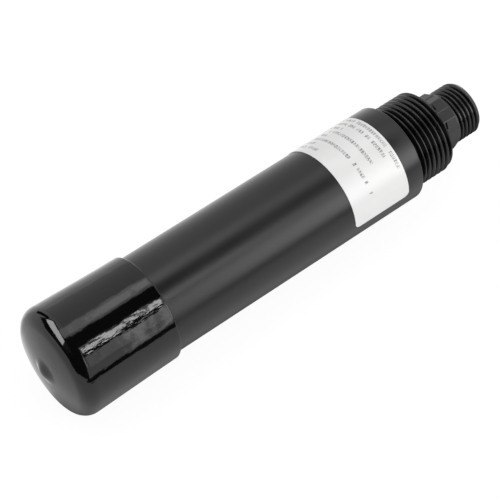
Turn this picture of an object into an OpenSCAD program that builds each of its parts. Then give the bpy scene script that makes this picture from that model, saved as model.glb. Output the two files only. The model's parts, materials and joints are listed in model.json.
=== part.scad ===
// Chlorophyll sensor for water: an optical probe in a black plastic tube, with a pipe-thread neck
// and a four-pin connector at its tail, and a soft slip-on cap over its optical end.
// The sensor lies along X. The connector points to +X, the optical face to -X and the label to +Z.
// The origin is on the axis, at the middle of the full turns of the mounting thread.
// Profiles that are turned round the axis are written as [radius, place along X].
// Both threads are drawn as rings at their true pitch and depth.

/* [Body] */
// Outside diameter of the tube and of the optical head
body_d = 30.6; // [29.6:0.2:36]
// Length of the tube from its open end to the shoulder
tube_l = 115.5; // [104.5:0.2:160]
// Wall of the tube
tube_wall = 2.6; // [2.2:0.1:3]
// Thickness of the end wall behind the shoulder
shoulder_t = 3; // [2:0.5:8]
// Bevel on the outer edges of the tube and the head
edge_bevel = 0.45; // [0.2:0.05:0.8]

/* [Mounting thread] */
// Major diameter of the pipe thread on the neck
thread_d = 26.44; // [25:0.02:27]
// Pitch of the pipe thread
thread_pitch = 1.814; // [1.4:0.002:2]
// Full turns of the pipe thread
thread_turns = 6; // [4:1:10]
// Plain relief between the shoulder and the first crest
thread_lead = 2.8; // [2:0.1:5]
// Beyond the last full turn, the length of the bevelled end of the neck
thread_tail = 1.55; // [1.3:0.05:3]
// How far the last crest, which the bevel cuts, stays below the full ones
tail_cut = 0.2; // [0:0.05:0.6]
// How far the bevel goes below the root of the thread
tail_drop = 0.45; // [0.2:0.05:0.8]

/* [Label] */
// Length of the label along the body
label_l = 20.6; // [12:0.2:40]
// Part of the circle that the label goes round
label_arc = 184; // [150:1:200]
// Thickness of the label
label_t = 0.15; // [0.1:0.05:0.3]
// Bare body between the label and the shoulder
label_to_shoulder = 6.5; // [2:0.2:20]
// Radius of the label's corners
label_corner = 1.7; // [0.5:0.1:3]

/* [Protective cap] */
// Depth of the cap's cavity
cap_depth = 31.7; // [22:0.1:45]
// Wall of the cap at its rim
cap_rim_wall = 1.05; // [0.8:0.05:2]
// Wall of the cap where the side meets the rounded end
cap_end_wall = 1.7; // [1:0.05:2.5]
// Thickness of the cap's end at its edge
cap_floor = 1.45; // [1:0.05:4]
// Radius of the rounded edge at the cap's end
cap_corner = 4.9; // [3:0.1:7]
// Rise of the domed end above its edge
cap_dome = 1.5; // [0.5:0.1:4]
// Diameter of the drip nub at the middle of the dome
nub_d = 7.6; // [4:0.2:12]
// Height of the drip nub
nub_h = 1.05; // [0.4:0.05:2]
// Radius inside the corner at the bottom of the cap's cavity
cap_inner_corner = 0.4; // [0.2:0.05:0.6]

/* [Optical head] */
// Thickness of the head's flange, which carries the window
head_flange = 6.9; // [6.6:0.1:12]
// Distance from the flange to the middle of the first O-ring
ring_lead = 3.2; // [2.4:0.1:6]
// Distance between the two O-rings
ring_pitch = 4.4; // [3.4:0.1:8]
// Thickness of each O-ring's section
ring_section = 1.6; // [1.2:0.1:1.8]
// Width of each O-ring groove
groove_w = 2.2; // [2:0.1:2.8]
// Wall left between an O-ring groove and the optics block
groove_wall = 1.45; // [1.2:0.05:1.8]
// Wall of the head round the window's ring
head_wall = 2.3; // [1.8:0.1:3]
// Thickness of the window
window_t = 2.5; // [1.5:0.1:3]
// Thickness of the ring that holds the window
retainer_t = 2; // [1:0.1:3]
// How far the window's ring reaches past the window's edge, outwards
retainer_step = 1.4; // [1:0.1:1.6]
// How far the window's ring reaches over the window, inwards
retainer_lip = 2.2; // [1.2:0.1:3]
// Thickness of the lip that the window rests on
lip_t = 2.4; // [2:0.1:4]
// How far that lip reaches in under the window
lip_reach = 3.4; // [3:0.1:4.4]
// Thickness of the window seal's section
seal_section = 1.1; // [0.8:0.1:1.4]

/* [Optics] */
// Angle of each beam to the axis
beam_angle = 12; // [11:0.5:13]
// Where the beams cross, ahead of the optical face
beam_cross = 3; // [2.5:0.1:4]
// Diameter of the beam's aperture in the block
aperture_d = 2.4; // [1.6:0.2:2.8]
// Distance along the beam from the crossing point to the filter
filter_at = 12.8; // [12.6:0.1:13.4]
// Diameter of the filters and lenses
glass_d = 3.2; // [2.8:0.1:3.6]
// Thickness of each filter
filter_t = 1.2; // [0.8:0.1:1.6]
// Thickness of each lens
lens_t = 1.5; // [1.2:0.1:1.8]
// Radius of each lens's curved face
lens_curve = 2.4; // [2:0.1:4]
// Diameter of the light-emitting diode
led_d = 3; // [2.6:0.1:3.2]
// Length of the light-emitting diode with its flange
led_l = 5.3; // [4.4:0.1:6.5]
// Diameter of the photodiode's can
can_d = 3; // [2.6:0.1:3.2]
// Length of the photodiode's can with its flange
can_l = 3.6; // [3:0.1:6]
// How far the flange of a diode stands out past its body
diode_flange = 0.4; // [0.2:0.05:0.5]
// Distance between the two leads of a diode
lead_pitch = 2.54; // [2:0.02:3]
// Diameter of the leads
lead_d = 0.5; // [0.4:0.05:0.6]
// Thickness of the optics block's flange
block_flange = 2; // [1.5:0.1:4]
// Height of the boss behind that flange
block_boss = 1.6; // [1.5:0.1:3]

/* [Boards] */
// Thickness of the circuit boards
board_t = 1.6; // [1:0.1:2]
// Space between each long edge of the main board and the wall of the tube
board_side = 1.2; // [0.9:0.1:2]
// Space between the edge of the round optics board and the wall of the tube
optics_board_side = 1.1; // [0.8:0.1:2]
// Space between the optics board and the main board
board_gap = 1.5; // [1.2:0.1:5]
// Space between the main board and the end wall of the tube
board_tail = 8; // [4:0.5:12]
// Thickness of the two rings that guide the main board
guide_t = 4; // [2:0.5:6]
// Width of those rings, from the wall of the tube inwards
guide_w = 3.5; // [3:0.1:4.5]
// Distance from the end of the main board to the ring near it
guide_inset = 1.5; // [0.5:0.5:4]
// Depth of the wire header along the board
header_l = 7; // [5:0.5:9]
// Height of the wire header
header_h = 5.5; // [4.5:0.5:7]
// Distance between the wires at the header
header_pitch = 2.5; // [2:0.1:3]
// Distance from the front of the main board to the amplifier
amplifier_at = 9; // [8.5:0.5:12]
// Distance from the front of the main board to the controller
controller_at = 34; // [30:0.5:37]
// Distance from the front of the main board to the inductor
inductor_at = 21; // [19:0.5:23]
// Length of the controller
controller_l = 12; // [8:0.5:14]
// Width of the controller
controller_w = 9; // [7:0.5:12]
// Length of the two small chips
chip_l = 4.9; // [3:0.1:6]
// Width of the two small chips
chip_w = 3.9; // [3:0.1:6]
// Height of the chips
chip_h = 1.6; // [1:0.1:2.2]
// Diameter of the inductor
inductor_d = 6; // [5:0.2:8]
// Height of the inductor
inductor_h = 3.2; // [2.5:0.1:4]
// Distance from the wire header to the middle of the transceiver
transceiver_gap = 7; // [5:0.5:9]
// Distance from the wire header to the middle of the capacitors
capacitor_gap = 16; // [12:0.5:20]
// Distance between the two capacitors
capacitor_pitch = 6; // [5.4:0.2:8]
// Diameter of the capacitors
capacitor_d = 4; // [3:0.1:5]
// Height of the capacitors above their feet
capacitor_h = 5; // [4:0.1:7]
// Space between the wire header and the guide ring behind it
header_gap = 3.5; // [2:0.5:6]

/* [Small screws] */
// Diameter of the small screws
screw_d = 1.6; // [1.4:0.1:2]
// Length of a small screw's thread in its hole
screw_grip = 2.6; // [2:0.1:4]
// Diameter of a small screw's head
screw_head_d = 2.8; // [2.4:0.1:3]
// Height of a small screw's head
screw_head_h = 1; // [0.6:0.1:1.2]
// Distance from the side of the optics block to the optics board's screws
board_screw_side = 3; // [2:0.1:3.6]

/* [Connector] */
// Distance across the flats of the eight-sided ring
octagon_flats = 17.5; // [16.8:0.1:22]
// Length of the eight-sided ring
octagon_l = 5.8; // [4:0.1:10]
// Turn of the eight-sided ring about the axis
octagon_turn = -6; // [-45:1:45]
// Bevel at the front of the eight-sided ring
octagon_bevel = 0.9; // [0.3:0.1:1.5]
// Distance from the foot of that ring to the slots in its flats
slot_at = 1.45; // [0.5:0.05:3]
// Length of each slot, round the ring
slot_l = 2; // [1:0.1:3]
// Width of each slot
slot_w = 0.55; // [0.3:0.05:0.8]
// Depth of each slot
slot_depth = 0.8; // [0.3:0.1:0.9]
// Length of the round collar between the ring and the thread
collar_l = 0.95; // [0.6:0.05:3]
// Major diameter of the connector's thread
coupling_d = 17; // [16.4:0.1:17.4]
// Pitch of the connector's thread
coupling_pitch = 1.5; // [1:0.05:1.6]
// Full turns of the connector's thread
coupling_turns = 5; // [5:1:8]
// Plain length between the collar and the first crest
coupling_lead = 0.65; // [0.6:0.05:3]
// Beyond the last full turn, the length of the bevelled end
coupling_tail = 0.6; // [0.4:0.05:1.5]
// Seat of the eight-sided ring on the neck, from its flats in to the neck's bore
ring_seat = 0.7; // [0.5:0.05:1]
// Wall of the stub round the insert
stub_wall = 1.4; // [1.2:0.1:1.8]
// Step from the insert's hole in to the socket
insert_step = 0.7; // [0.5:0.05:1]
// Length of the stub that goes into the neck
stub_l = 11; // [10:0.5:13]
// Thickness of the gasket
gasket_t = 0.6; // [0.4:0.1:1.2]
// How far the gasket reaches past the flats of the eight-sided ring
gasket_reach = 0.35; // [0.2:0.05:0.6]
// Depth of the groove for the gasket in the stub
gasket_step = 0.5; // [0.3:0.05:0.7]
// Length of the insert's wide part
insert_l = 10.5; // [9:0.5:11]
// Length of the insert's nose in the socket
insert_nose = 1.5; // [1:0.1:3]
// Distance from the front of the insert's wide part to the eight-sided ring's front
insert_back = 2; // [0.5:0.1:3]
// Diameter of the pins in the socket
pin_d = 1.2; // [1:0.1:1.6]
// Length of the pins in the socket
pin_l = 4.8; // [3:0.1:5]
// Diameter of the pins' solder cups
cup_d = 1.9; // [1.8:0.1:2.2]
// Length of the solder cups behind the insert
cup_l = 2.5; // [2.2:0.1:4]
// Diameter of the circle that the pins stand on
pin_circle_d = 5.4; // [5:0.1:7]
// Width of the key in the socket
key_w = 1.4; // [1:0.1:2]
// Height of the key in the socket
key_h = 0.8; // [0.4:0.1:1]
// Diameter of the wires
wire_d = 1.2; // [1:0.1:1.3]

/* [Clearances] */
// Gap round the tube inside the cap
cap_fit = 0.1; // [0.05:0.01:0.1]
// Gap between the optical face and the bottom of the cap
cap_end_gap = 0.5; // [0.2:0.1:0.9]
// Gap round each piece that is pushed into a bore
fit = 0.05; // [0.02:0.01:0.1]
// Gap round boards, leads and wires in their holes
loose_fit = 0.15; // [0.1:0.01:0.2]
// Film of glue under the label
glue = 0.03; // [0.02:0.01:0.05]

/* [Hidden] */
$fn = 96;

// Body, along X
body_r = body_d / 2;
bore_r = body_r - tube_wall;
shoulder_x = -thread_lead - (thread_turns - 1) * thread_pitch / 2;
last_crest_x = (thread_turns - 1) * thread_pitch / 2;
neck_end_x = last_crest_x + thread_pitch / 2 + thread_tail;
bore_floor_x = shoulder_x - shoulder_t;
tube_end_x = shoulder_x - tube_l;
face_x = tube_end_x - head_flange;
board_w = 2 * (bore_r - board_side);

// A pipe thread has a depth of 0.6403 of its pitch, and its crest and root are a sixth of it wide
thread_depth = 0.6403 * thread_pitch;
thread_flat = thread_pitch / 6;
thread_root_r = thread_d / 2 - thread_depth;
tail_crest_x = last_crest_x + thread_pitch;
relief_r = thread_root_r - 0.1;

// A metric thread has a depth of 0.5413 of its pitch, a crest of an eighth and a root of a quarter
coupling_depth = 0.5413 * coupling_pitch;
coupling_crest = coupling_pitch / 8;
coupling_root = coupling_pitch / 4;
coupling_root_r = coupling_d / 2 - coupling_depth;

// Cap
cap_bore_r = body_r + cap_fit;
cap_floor_x = face_x - cap_end_gap;
cap_rim_x = cap_floor_x + cap_depth;
cap_edge_x = cap_floor_x - cap_floor;
cap_rim_r = cap_bore_r + cap_rim_wall;
cap_end_r = cap_bore_r + cap_end_wall;
rim_round = cap_rim_wall * 0.45;

// Optical head
stub_r = bore_r - fit;
groove_r = bore_r - ring_section - fit;
head_bore_r = groove_r - groove_wall;
head_stub = ring_lead + ring_pitch + groove_w / 2 + screw_grip + 0.6;
head_end_x = tube_end_x + head_stub;
retainer_r = body_r - head_wall;
window_r = retainer_r - retainer_step;
lip_hole_r = window_r - lip_reach;
window_x = face_x + retainer_t;
lip_x = window_x + window_t;
block_x = lip_x + lip_t;
seal_mid_r = (lip_hole_r + window_r) / 2;
block_r = head_bore_r - fit;
block_flange_x = head_end_x;
block_boss_x = block_flange_x + block_flange;
block_end_x = block_boss_x + block_boss;
block_screw_r = (head_bore_r + stub_r) / 2;
board_screw_r = block_r - board_screw_side;

// Beams
cross_x = face_x - beam_cross;
lens_at = filter_at + filter_t;
diode_at = lens_at + lens_t + 0.3;
glass_hole_r = glass_d / 2 + fit;
diode_hole_r = max(led_d, can_d, glass_d) / 2 + fit;
flange_hole_r = max(led_d, can_d) / 2 + diode_flange + fit;
optics_board_x = block_end_x;
optics_board_end_x = optics_board_x + board_t;
lead_end = (optics_board_end_x - cross_x + 0.9) / cos(beam_angle);
beam_l = block_end_x - cross_x;
lead_y = (optics_board_x + board_t / 2 - cross_x) * tan(beam_angle);

// Main board: its top face is board_t / 2 above the axis
board_x = optics_board_end_x + board_gap;
board_end_x = bore_floor_x - board_tail;
front_guide_x = board_x + guide_inset;
rear_guide_x = board_end_x - guide_inset - guide_t;
header_x = rear_guide_x - header_gap - header_l;
header_end_x = header_x + header_l;
header_w = header_pitch * 4;
wire_z = board_t / 2 + header_h * 0.55;
link_pins = 5;
link_pitch = 2;
link_l = 2.6;
link_h = 2.5;
link_pin_d = 0.6;
link_z = board_t / 2 + link_h / 2;

// Connector
neck_bore_r = octagon_flats / 2 - ring_seat;
gasket_x = neck_end_x;
octagon_x = gasket_x + gasket_t;
octagon_end_x = octagon_x + octagon_l;
octagon_r = octagon_flats / 2 / cos(22.5);
collar_end_x = octagon_end_x + collar_l;
coupling_first_x = collar_end_x + coupling_lead;
coupling_end_x = coupling_first_x + (coupling_turns - 0.5) * coupling_pitch + coupling_tail;
connector_stub_r = neck_bore_r - fit;
stub_x = neck_end_x - stub_l;
gasket_r = connector_stub_r - gasket_step;
insert_hole_r = connector_stub_r - stub_wall;
socket_r = insert_hole_r - insert_step;
insert_x = octagon_end_x - insert_back;
insert_back_x = insert_x - insert_l;
insert_face_x = insert_x + insert_nose;
pin_tip_x = insert_face_x + pin_l;
pin_step_x = insert_back_x + 4;
cup_x = insert_back_x - cup_l;
cup_depth = 1.6;
cup_hole_r = wire_d / 2 + 0.08;
pin_circle_r = pin_circle_d / 2;
wire_turns = 14;

// A 2D profile turned round the X axis
module turned() {
    rotate([0, 90, 0])
        rotate_extrude()
            children();
}

// A round bar along X from one place to another
module bar(x0, x1, r) {
    translate([x0, 0, 0])
        rotate([0, 90, 0])
            cylinder(r = r, h = x1 - x0);
}

// A square profile of a ring, from r0 to r1 and from x0 to x1
module ring_profile(x0, x1, r0, r1) {
    translate([r0, x0])
        square([r1 - r0, x1 - x0]);
}

// Corner points of the full turns of a thread, the first crest being at x
function thread_points(x, turns, pitch, root_r, depth, crest, root) = [
    for (turn = [0 : turns - 1], side = [-1, 1], step = [0, 1])
        let (
            high = side < 0 ? step == 1 : step == 0,
            reach = high ? crest / 2 : (pitch - root) / 2
        )
        [root_r + (high ? depth : 0), x + turn * pitch + side * reach]
];

// Points on an arc, from angle a0 to a1
function arc_points(centre, r, a0, a1, steps) = [
    for (i = [0 : steps])
        let (a = a0 + (a1 - a0) * i / steps)
        centre + r * [cos(a), sin(a)]
];

// The dome's surface and the nub on it, from the edge of the dome to the axis
dome_r = cap_end_r - cap_corner;
dome_steps = 14;
function nub_rise(r) = r < nub_d / 2 ? nub_h * (1 + cos(360 * r / nub_d)) / 2 : 0;
function dome_rise(r) = cap_dome * (1 - (r / dome_r) * (r / dome_r));
function dome_points() = [
    for (i = [1 : dome_steps])
        let (r = dome_r * (1 - i / dome_steps))
        [r, cap_edge_x - dome_rise(r) - nub_rise(r)]
];

// Soft dipped cap: a straight bore, a side that thickens towards the rounded end, and the drip nub
module protective_cap() {
    outer_corner = [dome_r, cap_edge_x + cap_corner];
    inner_corner = [cap_bore_r - cap_inner_corner, cap_floor_x + cap_inner_corner];
    rim_outer = [cap_rim_r - rim_round, cap_rim_x - rim_round];
    rim_inner = [cap_bore_r + rim_round, cap_rim_x - rim_round];
    color("#17181a")
        turned()
            polygon(concat(
                arc_points(rim_inner, rim_round, 180, 90, 4),
                arc_points(rim_outer, rim_round, 90, 0, 4),
                arc_points(outer_corner, cap_corner, 0, -90, 10),
                dome_points(),
                [[0, cap_floor_x]],
                arc_points(inner_corner, cap_inner_corner, -90, 0, 3)
            ));
}

// Tube, shoulder and threaded neck in one piece
module housing() {
    thread = thread_points(
        -last_crest_x, thread_turns, thread_pitch, thread_root_r, thread_depth, thread_flat, thread_flat
    );
    flank = (thread_pitch - 2 * thread_flat) / 2;
    tail_r = thread_d / 2 - tail_cut;
    cut = tail_cut * flank / thread_depth;
    color("#2b2c2e")
        turned()
            polygon(concat(
                [
                    [bore_r, tube_end_x],
                    [body_r - edge_bevel, tube_end_x],
                    [body_r, tube_end_x + edge_bevel],
                    [body_r, shoulder_x - edge_bevel],
                    [body_r - edge_bevel, shoulder_x],
                    [relief_r, shoulder_x],
                    [relief_r, -last_crest_x - thread_flat / 2 - flank]
                ],
                thread,
                [
                    [thread_root_r, tail_crest_x - thread_flat / 2 - flank],
                    [tail_r, tail_crest_x - thread_flat / 2 - cut],
                    [tail_r, tail_crest_x + thread_flat / 2],
                    [thread_root_r - tail_drop, neck_end_x],
                    [neck_bore_r, neck_end_x],
                    [neck_bore_r, bore_floor_x],
                    [bore_r, bore_floor_x]
                ]
            ));
}

// Thin label round the top of the tube, with rounded corners at its two ends
module label() {
    label_x = shoulder_x - label_to_shoulder - label_l;
    low_z = body_r * cos(label_arc / 2);
    outline = concat(
        arc_points([label_x + label_corner, low_z + label_corner], label_corner, 180, 270, 6),
        arc_points([label_x + label_l - label_corner, low_z + label_corner], label_corner, 270, 360, 6),
        [[label_x + label_l, body_d], [label_x, body_d]]
    );
    color("#dfe1e2")
        intersection() {
            turned()
                ring_profile(label_x - 1, label_x + label_l + 1, body_r + glue, body_r + glue + label_t);
            rotate([90, 0, 0])
                translate([0, 0, -body_d])
                    linear_extrude(height = 2 * body_d)
                        polygon(outline);
        }
}

// Flange with the window's seat, and a hollow stub with two O-ring grooves
module optical_head() {
    groove_1 = tube_end_x + ring_lead;
    groove_2 = groove_1 + ring_pitch;
    color("#303133")
        difference() {
            turned()
                difference() {
                    polygon([
                        [retainer_r + fit, face_x],
                        [body_r - edge_bevel, face_x],
                        [body_r, face_x + edge_bevel],
                        [body_r, tube_end_x - edge_bevel],
                        [body_r - edge_bevel, tube_end_x],
                        [stub_r, tube_end_x],
                        [stub_r, head_end_x],
                        [head_bore_r, head_end_x],
                        [head_bore_r, block_x],
                        [lip_hole_r, block_x],
                        [lip_hole_r, lip_x],
                        [window_r + fit, lip_x],
                        [window_r + fit, window_x],
                        [retainer_r + fit, window_x]
                    ]);
                    for (x = [groove_1, groove_2])
                        ring_profile(x - groove_w / 2, x + groove_w / 2, groove_r, bore_r);
                    ring_profile(
                        lip_x - 0.5, lip_x + seal_section,
                        seal_mid_r - seal_section * 0.6, seal_mid_r + seal_section * 0.6
                    );
                }
            block_screw_places()
                bar(head_end_x - screw_grip - 0.3, head_end_x + 1, screw_d / 2 + fit);
        }
}

// The two screws of the optics block are above and below the axis
module block_screw_places() {
    for (side = [-1, 1])
        translate([0, 0, side * block_screw_r])
            children();
}

// One O-ring of the head, with its middle at x
module o_ring(x) {
    color("#1b1b1c")
        turned()
            translate([groove_r + ring_section / 2, x])
                circle(d = ring_section);
}

module head_o_ring_front() {
    o_ring(tube_end_x + ring_lead);
}

module head_o_ring_rear() {
    o_ring(tube_end_x + ring_lead + ring_pitch);
}

module window() {
    color("#c9d6dc", 0.5)
        bar(window_x, lip_x, window_r);
}

module window_seal() {
    color("#1b1b1c")
        turned()
            translate([seal_mid_r, lip_x + seal_section / 2])
                circle(d = seal_section);
}

// Ring that is screwed in over the window, with two slots for a pin spanner
module window_retainer() {
    slot = 1.6;
    inner_r = window_r - retainer_lip;
    color("#3a3b3d")
        difference() {
            turned()
                polygon([
                    [inner_r, face_x + 0.6],
                    [inner_r + 0.6, face_x],
                    [retainer_r, face_x],
                    [retainer_r, window_x],
                    [inner_r, window_x]
                ]);
            for (side = [-1, 1])
                translate([face_x - 1, side * retainer_r - slot / 2, -slot / 2])
                    cube([1.8, slot, slot]);
        }
}

// Along a beam: +Z runs back from the crossing point, side 1 being the light source
module beam(side) {
    translate([cross_x, 0, 0])
        rotate([0, 0, side * beam_angle])
            rotate([0, 90, 0])
                children();
}

// Holes of one beam through the optics block
module beam_hole(diode_l) {
    flange_at = diode_at + diode_l - 1;
    cylinder(d = aperture_d, h = filter_at + 0.1);
    translate([0, 0, filter_at])
        cylinder(r = glass_hole_r, h = filter_t + lens_t);
    translate([0, 0, lens_at])
        cylinder(r = diode_hole_r, h = beam_l);
    translate([0, 0, flange_at - fit])
        cylinder(r = flange_hole_r, h = beam_l);
}

// Block that holds the filters, the lenses and the two diodes on beams that cross before the window
module optics_block() {
    color("#1f2021")
        difference() {
            turned()
                polygon([
                    [0, block_x],
                    [block_r, block_x],
                    [block_r, block_flange_x],
                    [stub_r - 0.2, block_flange_x],
                    [stub_r - 0.2, block_boss_x],
                    [block_r, block_boss_x],
                    [block_r, block_end_x],
                    [0, block_end_x]
                ]);
            beam(1)
                beam_hole(led_l);
            beam(-1)
                beam_hole(can_l);
            block_screw_places()
                bar(block_flange_x - 1, block_boss_x + 1, screw_d / 2 + loose_fit);
            board_screw_places()
                bar(block_end_x - screw_grip - 0.3, block_end_x + 1, screw_d / 2 + fit);
        }
}

// Pan-head screw whose head rests at x, with a cross slot; its thread points to -X
module screw(x, clamped) {
    slot = 0.4;
    difference() {
        union() {
            bar(x, x + screw_head_h, screw_head_d / 2);
            bar(x - clamped - screw_grip, x, screw_d / 2);
        }
        for (turn = [0, 90])
            rotate([turn, 0, 0])
                translate([x + screw_head_h - slot, -screw_head_d / 3, -slot / 2])
                    cube([1, screw_head_d / 1.5, slot]);
    }
}

module block_screws() {
    color("#b9bcc0")
        block_screw_places()
            screw(block_boss_x, block_flange);
}

// Plano-convex lens, its flat face towards the filter
module lens() {
    translate([0, 0, lens_at])
        intersection() {
            cylinder(d = glass_d, h = lens_t);
            translate([0, 0, lens_t - lens_curve])
                sphere(r = lens_curve);
        }
}

module filter() {
    translate([0, 0, filter_at])
        cylinder(d = glass_d, h = filter_t);
}

// The two leads of a diode, from the back of its flange through the optics board
module diode_leads(diode_l) {
    for (side = [-1, 1])
        translate([side * lead_pitch / 2, 0, diode_at + diode_l - 0.2])
            cylinder(d = lead_d, h = lead_end - diode_at - diode_l + 0.2);
}

// Diode with a round nose
module excitation_led() {
    nose_r = led_d / 2;
    color("#7fa7e8", 0.7)
        beam(1) {
            translate([0, 0, diode_at + nose_r])
                sphere(r = nose_r);
            translate([0, 0, diode_at + nose_r])
                cylinder(r = nose_r, h = led_l - nose_r);
            translate([0, 0, diode_at + led_l - 1])
                cylinder(r = nose_r + diode_flange, h = 1);
            diode_leads(led_l);
        }
}

module excitation_lens() {
    color("#d5e2e8", 0.6)
        beam(1)
            lens();
}

module excitation_filter() {
    color("#3a5fb0", 0.8)
        beam(1)
            filter();
}

// Diode in a metal can with a flat lens
module photodiode() {
    color("#a9adb2")
        beam(-1) {
            translate([0, 0, diode_at])
                cylinder(d = can_d, h = can_l);
            translate([0, 0, diode_at + can_l - 1])
                cylinder(r = can_d / 2 + diode_flange, h = 1);
            diode_leads(can_l);
        }
}

module detector_lens() {
    color("#d5e2e8", 0.6)
        beam(-1)
            lens();
}

module emission_filter() {
    color("#9c2530", 0.8)
        beam(-1)
            filter();
}

// The optics board's screws are above and below the axis
module board_screw_places() {
    for (side = [-1, 1])
        translate([0, 0, side * board_screw_r])
            children();
}

// Round board behind the optics block, with holes for leads, link pins and screws
module optics_board() {
    color("#1f5b3a")
        difference() {
            bar(optics_board_x, optics_board_end_x, bore_r - optics_board_side);
            board_screw_places()
                bar(optics_board_x - 1, optics_board_end_x + 1, screw_d / 2 + loose_fit);
            for (side_y = [-1, 1], side_z = [-1, 1])
                translate([0, side_y * lead_y, side_z * lead_pitch / 2])
                    bar(optics_board_x - 1, optics_board_end_x + 1, lead_d / 2 + 0.5);
            link_pin_places()
                bar(optics_board_x - 1, optics_board_end_x + 1, link_pin_d / 2 + loose_fit);
        }
}

module optics_board_screws() {
    color("#b9bcc0")
        board_screw_places()
            screw(optics_board_end_x, board_t);
}

// The pins that link the two boards stand in a row above the main board
module link_pin_places() {
    for (i = [0 : link_pins - 1])
        translate([0, (i - (link_pins - 1) / 2) * link_pitch, link_z])
            children();
}

module board_link() {
    link_x = board_x + 0.5;
    color("#222326") {
        translate([link_x, -link_pins * link_pitch / 2, board_t / 2])
            cube([link_l, link_pins * link_pitch, link_h]);
        link_pin_places()
            bar(optics_board_x + 0.3, link_x + 0.1, link_pin_d / 2);
    }
}

module main_board() {
    color("#1f5b3a")
        translate([board_x, -board_w / 2, -board_t / 2])
            cube([board_end_x - board_x, board_w, board_t]);
}

// Ring in the tube with a slot each side, which the long edges of the main board slide into
module board_guide(x) {
    color("#3a3b3d")
        difference() {
            bar(x, x + guide_t, bore_r - loose_fit);
            bar(x - 1, x + guide_t + 1, bore_r - guide_w);
            translate([x - 1, -board_w / 2 - loose_fit, -board_t / 2 - loose_fit])
                cube([guide_t + 2, board_w + 2 * loose_fit, board_t + 2 * loose_fit]);
        }
}

module front_board_guide() {
    board_guide(front_guide_x);
}

module rear_board_guide() {
    board_guide(rear_guide_x);
}

// Moulded chip on the main board, centred at x and y, with bent leads on its two long sides
module chip(x, y, l, w, h, leads) {
    stand = 0.15;
    pitch = l / leads;
    foot = 0.7;
    top = board_t / 2;
    lead = [
        [w / 2 - 0.1, h * 0.55], [w / 2 + 0.5, h * 0.55], [w / 2 + 0.5, 0.2],
        [w / 2 + 0.5 + foot, 0.2], [w / 2 + 0.5 + foot, 0], [w / 2 + 0.3, 0],
        [w / 2 + 0.3, h * 0.55 - 0.2], [w / 2 - 0.1, h * 0.55 - 0.2]
    ];
    translate([x, y, top]) {
        translate([-l / 2, -w / 2, stand])
            cube([l, w, h - stand]);
        for (side = [0, 1], i = [0 : leads - 1])
            mirror([0, side, 0])
                translate([(i + 0.5) * pitch - l / 2 - 0.2, 0, 0])
                    rotate([90, 0, 90])
                        linear_extrude(height = 0.4)
                            polygon(lead);
    }
}

module controller_chip() {
    color("#232427")
        chip(board_x + controller_at, 0, controller_l, controller_w, chip_h, 12);
}

module amplifier_chip() {
    color("#232427")
        chip(board_x + amplifier_at, 0, chip_l, chip_w, chip_h, 4);
}

module transceiver_chip() {
    color("#232427")
        chip(header_x - transceiver_gap, 0, chip_l, chip_w, chip_h, 4);
}

// Drum inductor with a waist
module power_inductor() {
    drum_r = inductor_d / 2;
    drum_h = inductor_h;
    color("#46484c")
        translate([board_x + inductor_at, 0, board_t / 2])
            rotate_extrude()
                polygon([
                    [0, 0], [drum_r, 0], [drum_r, 0.7], [drum_r - 0.7, 1.1],
                    [drum_r - 0.7, drum_h - 1.1], [drum_r, drum_h - 0.7], [drum_r, drum_h], [0, drum_h]
                ]);
}

// Two can capacitors on square feet, side by side
module storage_capacitors() {
    foot = capacitor_d + 0.4;
    foot_h = 0.9;
    color("#b4b8bd")
        for (side = [-1, 1])
            translate([header_x - capacitor_gap, side * capacitor_pitch / 2, board_t / 2]) {
                translate([-foot / 2, -foot / 2, 0])
                    cube([foot, foot, foot_h]);
                translate([0, 0, foot_h - 0.1])
                    cylinder(d = capacitor_d, h = capacitor_h);
            }
}

// Y of each wire at the header, the first being at -Y
function header_y(i) = (i - 1.5) * header_pitch;

module wire_header() {
    color("#d8d6cf")
        difference() {
            translate([header_x, -header_w / 2, board_t / 2])
                cube([header_l, header_w, header_h]);
            for (i = [0 : 3])
                translate([0, header_y(i), wire_z])
                    bar(header_end_x - 2, header_end_x + 1, wire_d / 2 + loose_fit);
        }
}

// Place of each pin across the axis, in the order of the wires: low, high, high, low
function pin_y(i) = (i < 2 ? -1 : 1) * pin_circle_r * cos(45);
function pin_z(i) = (i == 0 || i == 3 ? -1 : 1) * pin_circle_r * sin(45);

// Route of wire i: straight out of the header, over to its pin, and straight into the solder cup
function ease(t) = t * t * (3 - 2 * t);
function wire_points(i) = [
    for (k = [0 : wire_turns])
        let (
            x0 = header_end_x - 1.9,
            x1 = cup_x + cup_depth,
            x = x0 + (x1 - x0) * k / wire_turns,
            t = min(1, max(0, (x - header_end_x - 0.5) / (cup_x - header_end_x - 1)))
        )
        [x, header_y(i) + (pin_y(i) - header_y(i)) * ease(t), wire_z + (pin_z(i) - wire_z) * ease(t)]
];

// Round tube of eight sides along a route that runs mainly along X
module wire(i) {
    sides = 8;
    route = wire_points(i);
    rings = len(route);
    points = [
        for (p = route, s = [0 : sides - 1])
            p + wire_d / 2 * [0, cos(360 * s / sides), sin(360 * s / sides)]
    ];
    first_end = [for (s = [0 : sides - 1]) s];
    last_end = [for (s = [0 : sides - 1]) rings * sides - 1 - s];
    walls = [
        for (k = [0 : rings - 2], s = [0 : sides - 1])
            let (a = k * sides + s, b = k * sides + (s + 1) % sides)
            [a + sides, b + sides, b, a]
    ];
    polyhedron(points = points, faces = concat([first_end, last_end], walls));
}

module wire_red() {
    color("#b3241f")
        wire(0);
}

module wire_black() {
    color("#202022")
        wire(1);
}

module wire_yellow() {
    color("#d9b92c")
        wire(2);
}

module wire_blue() {
    color("#2a4fa3")
        wire(3);
}

// A slot across part of each flat, just past its corner
module flat_slots() {
    for (i = [0 : 7])
        rotate([octagon_turn + i * 45 + 2, 0, 0])
            translate([octagon_x + slot_at, -slot_l - 0.3, octagon_flats / 2 - slot_depth])
                cube([slot_w, slot_l, 2]);
}

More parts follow.
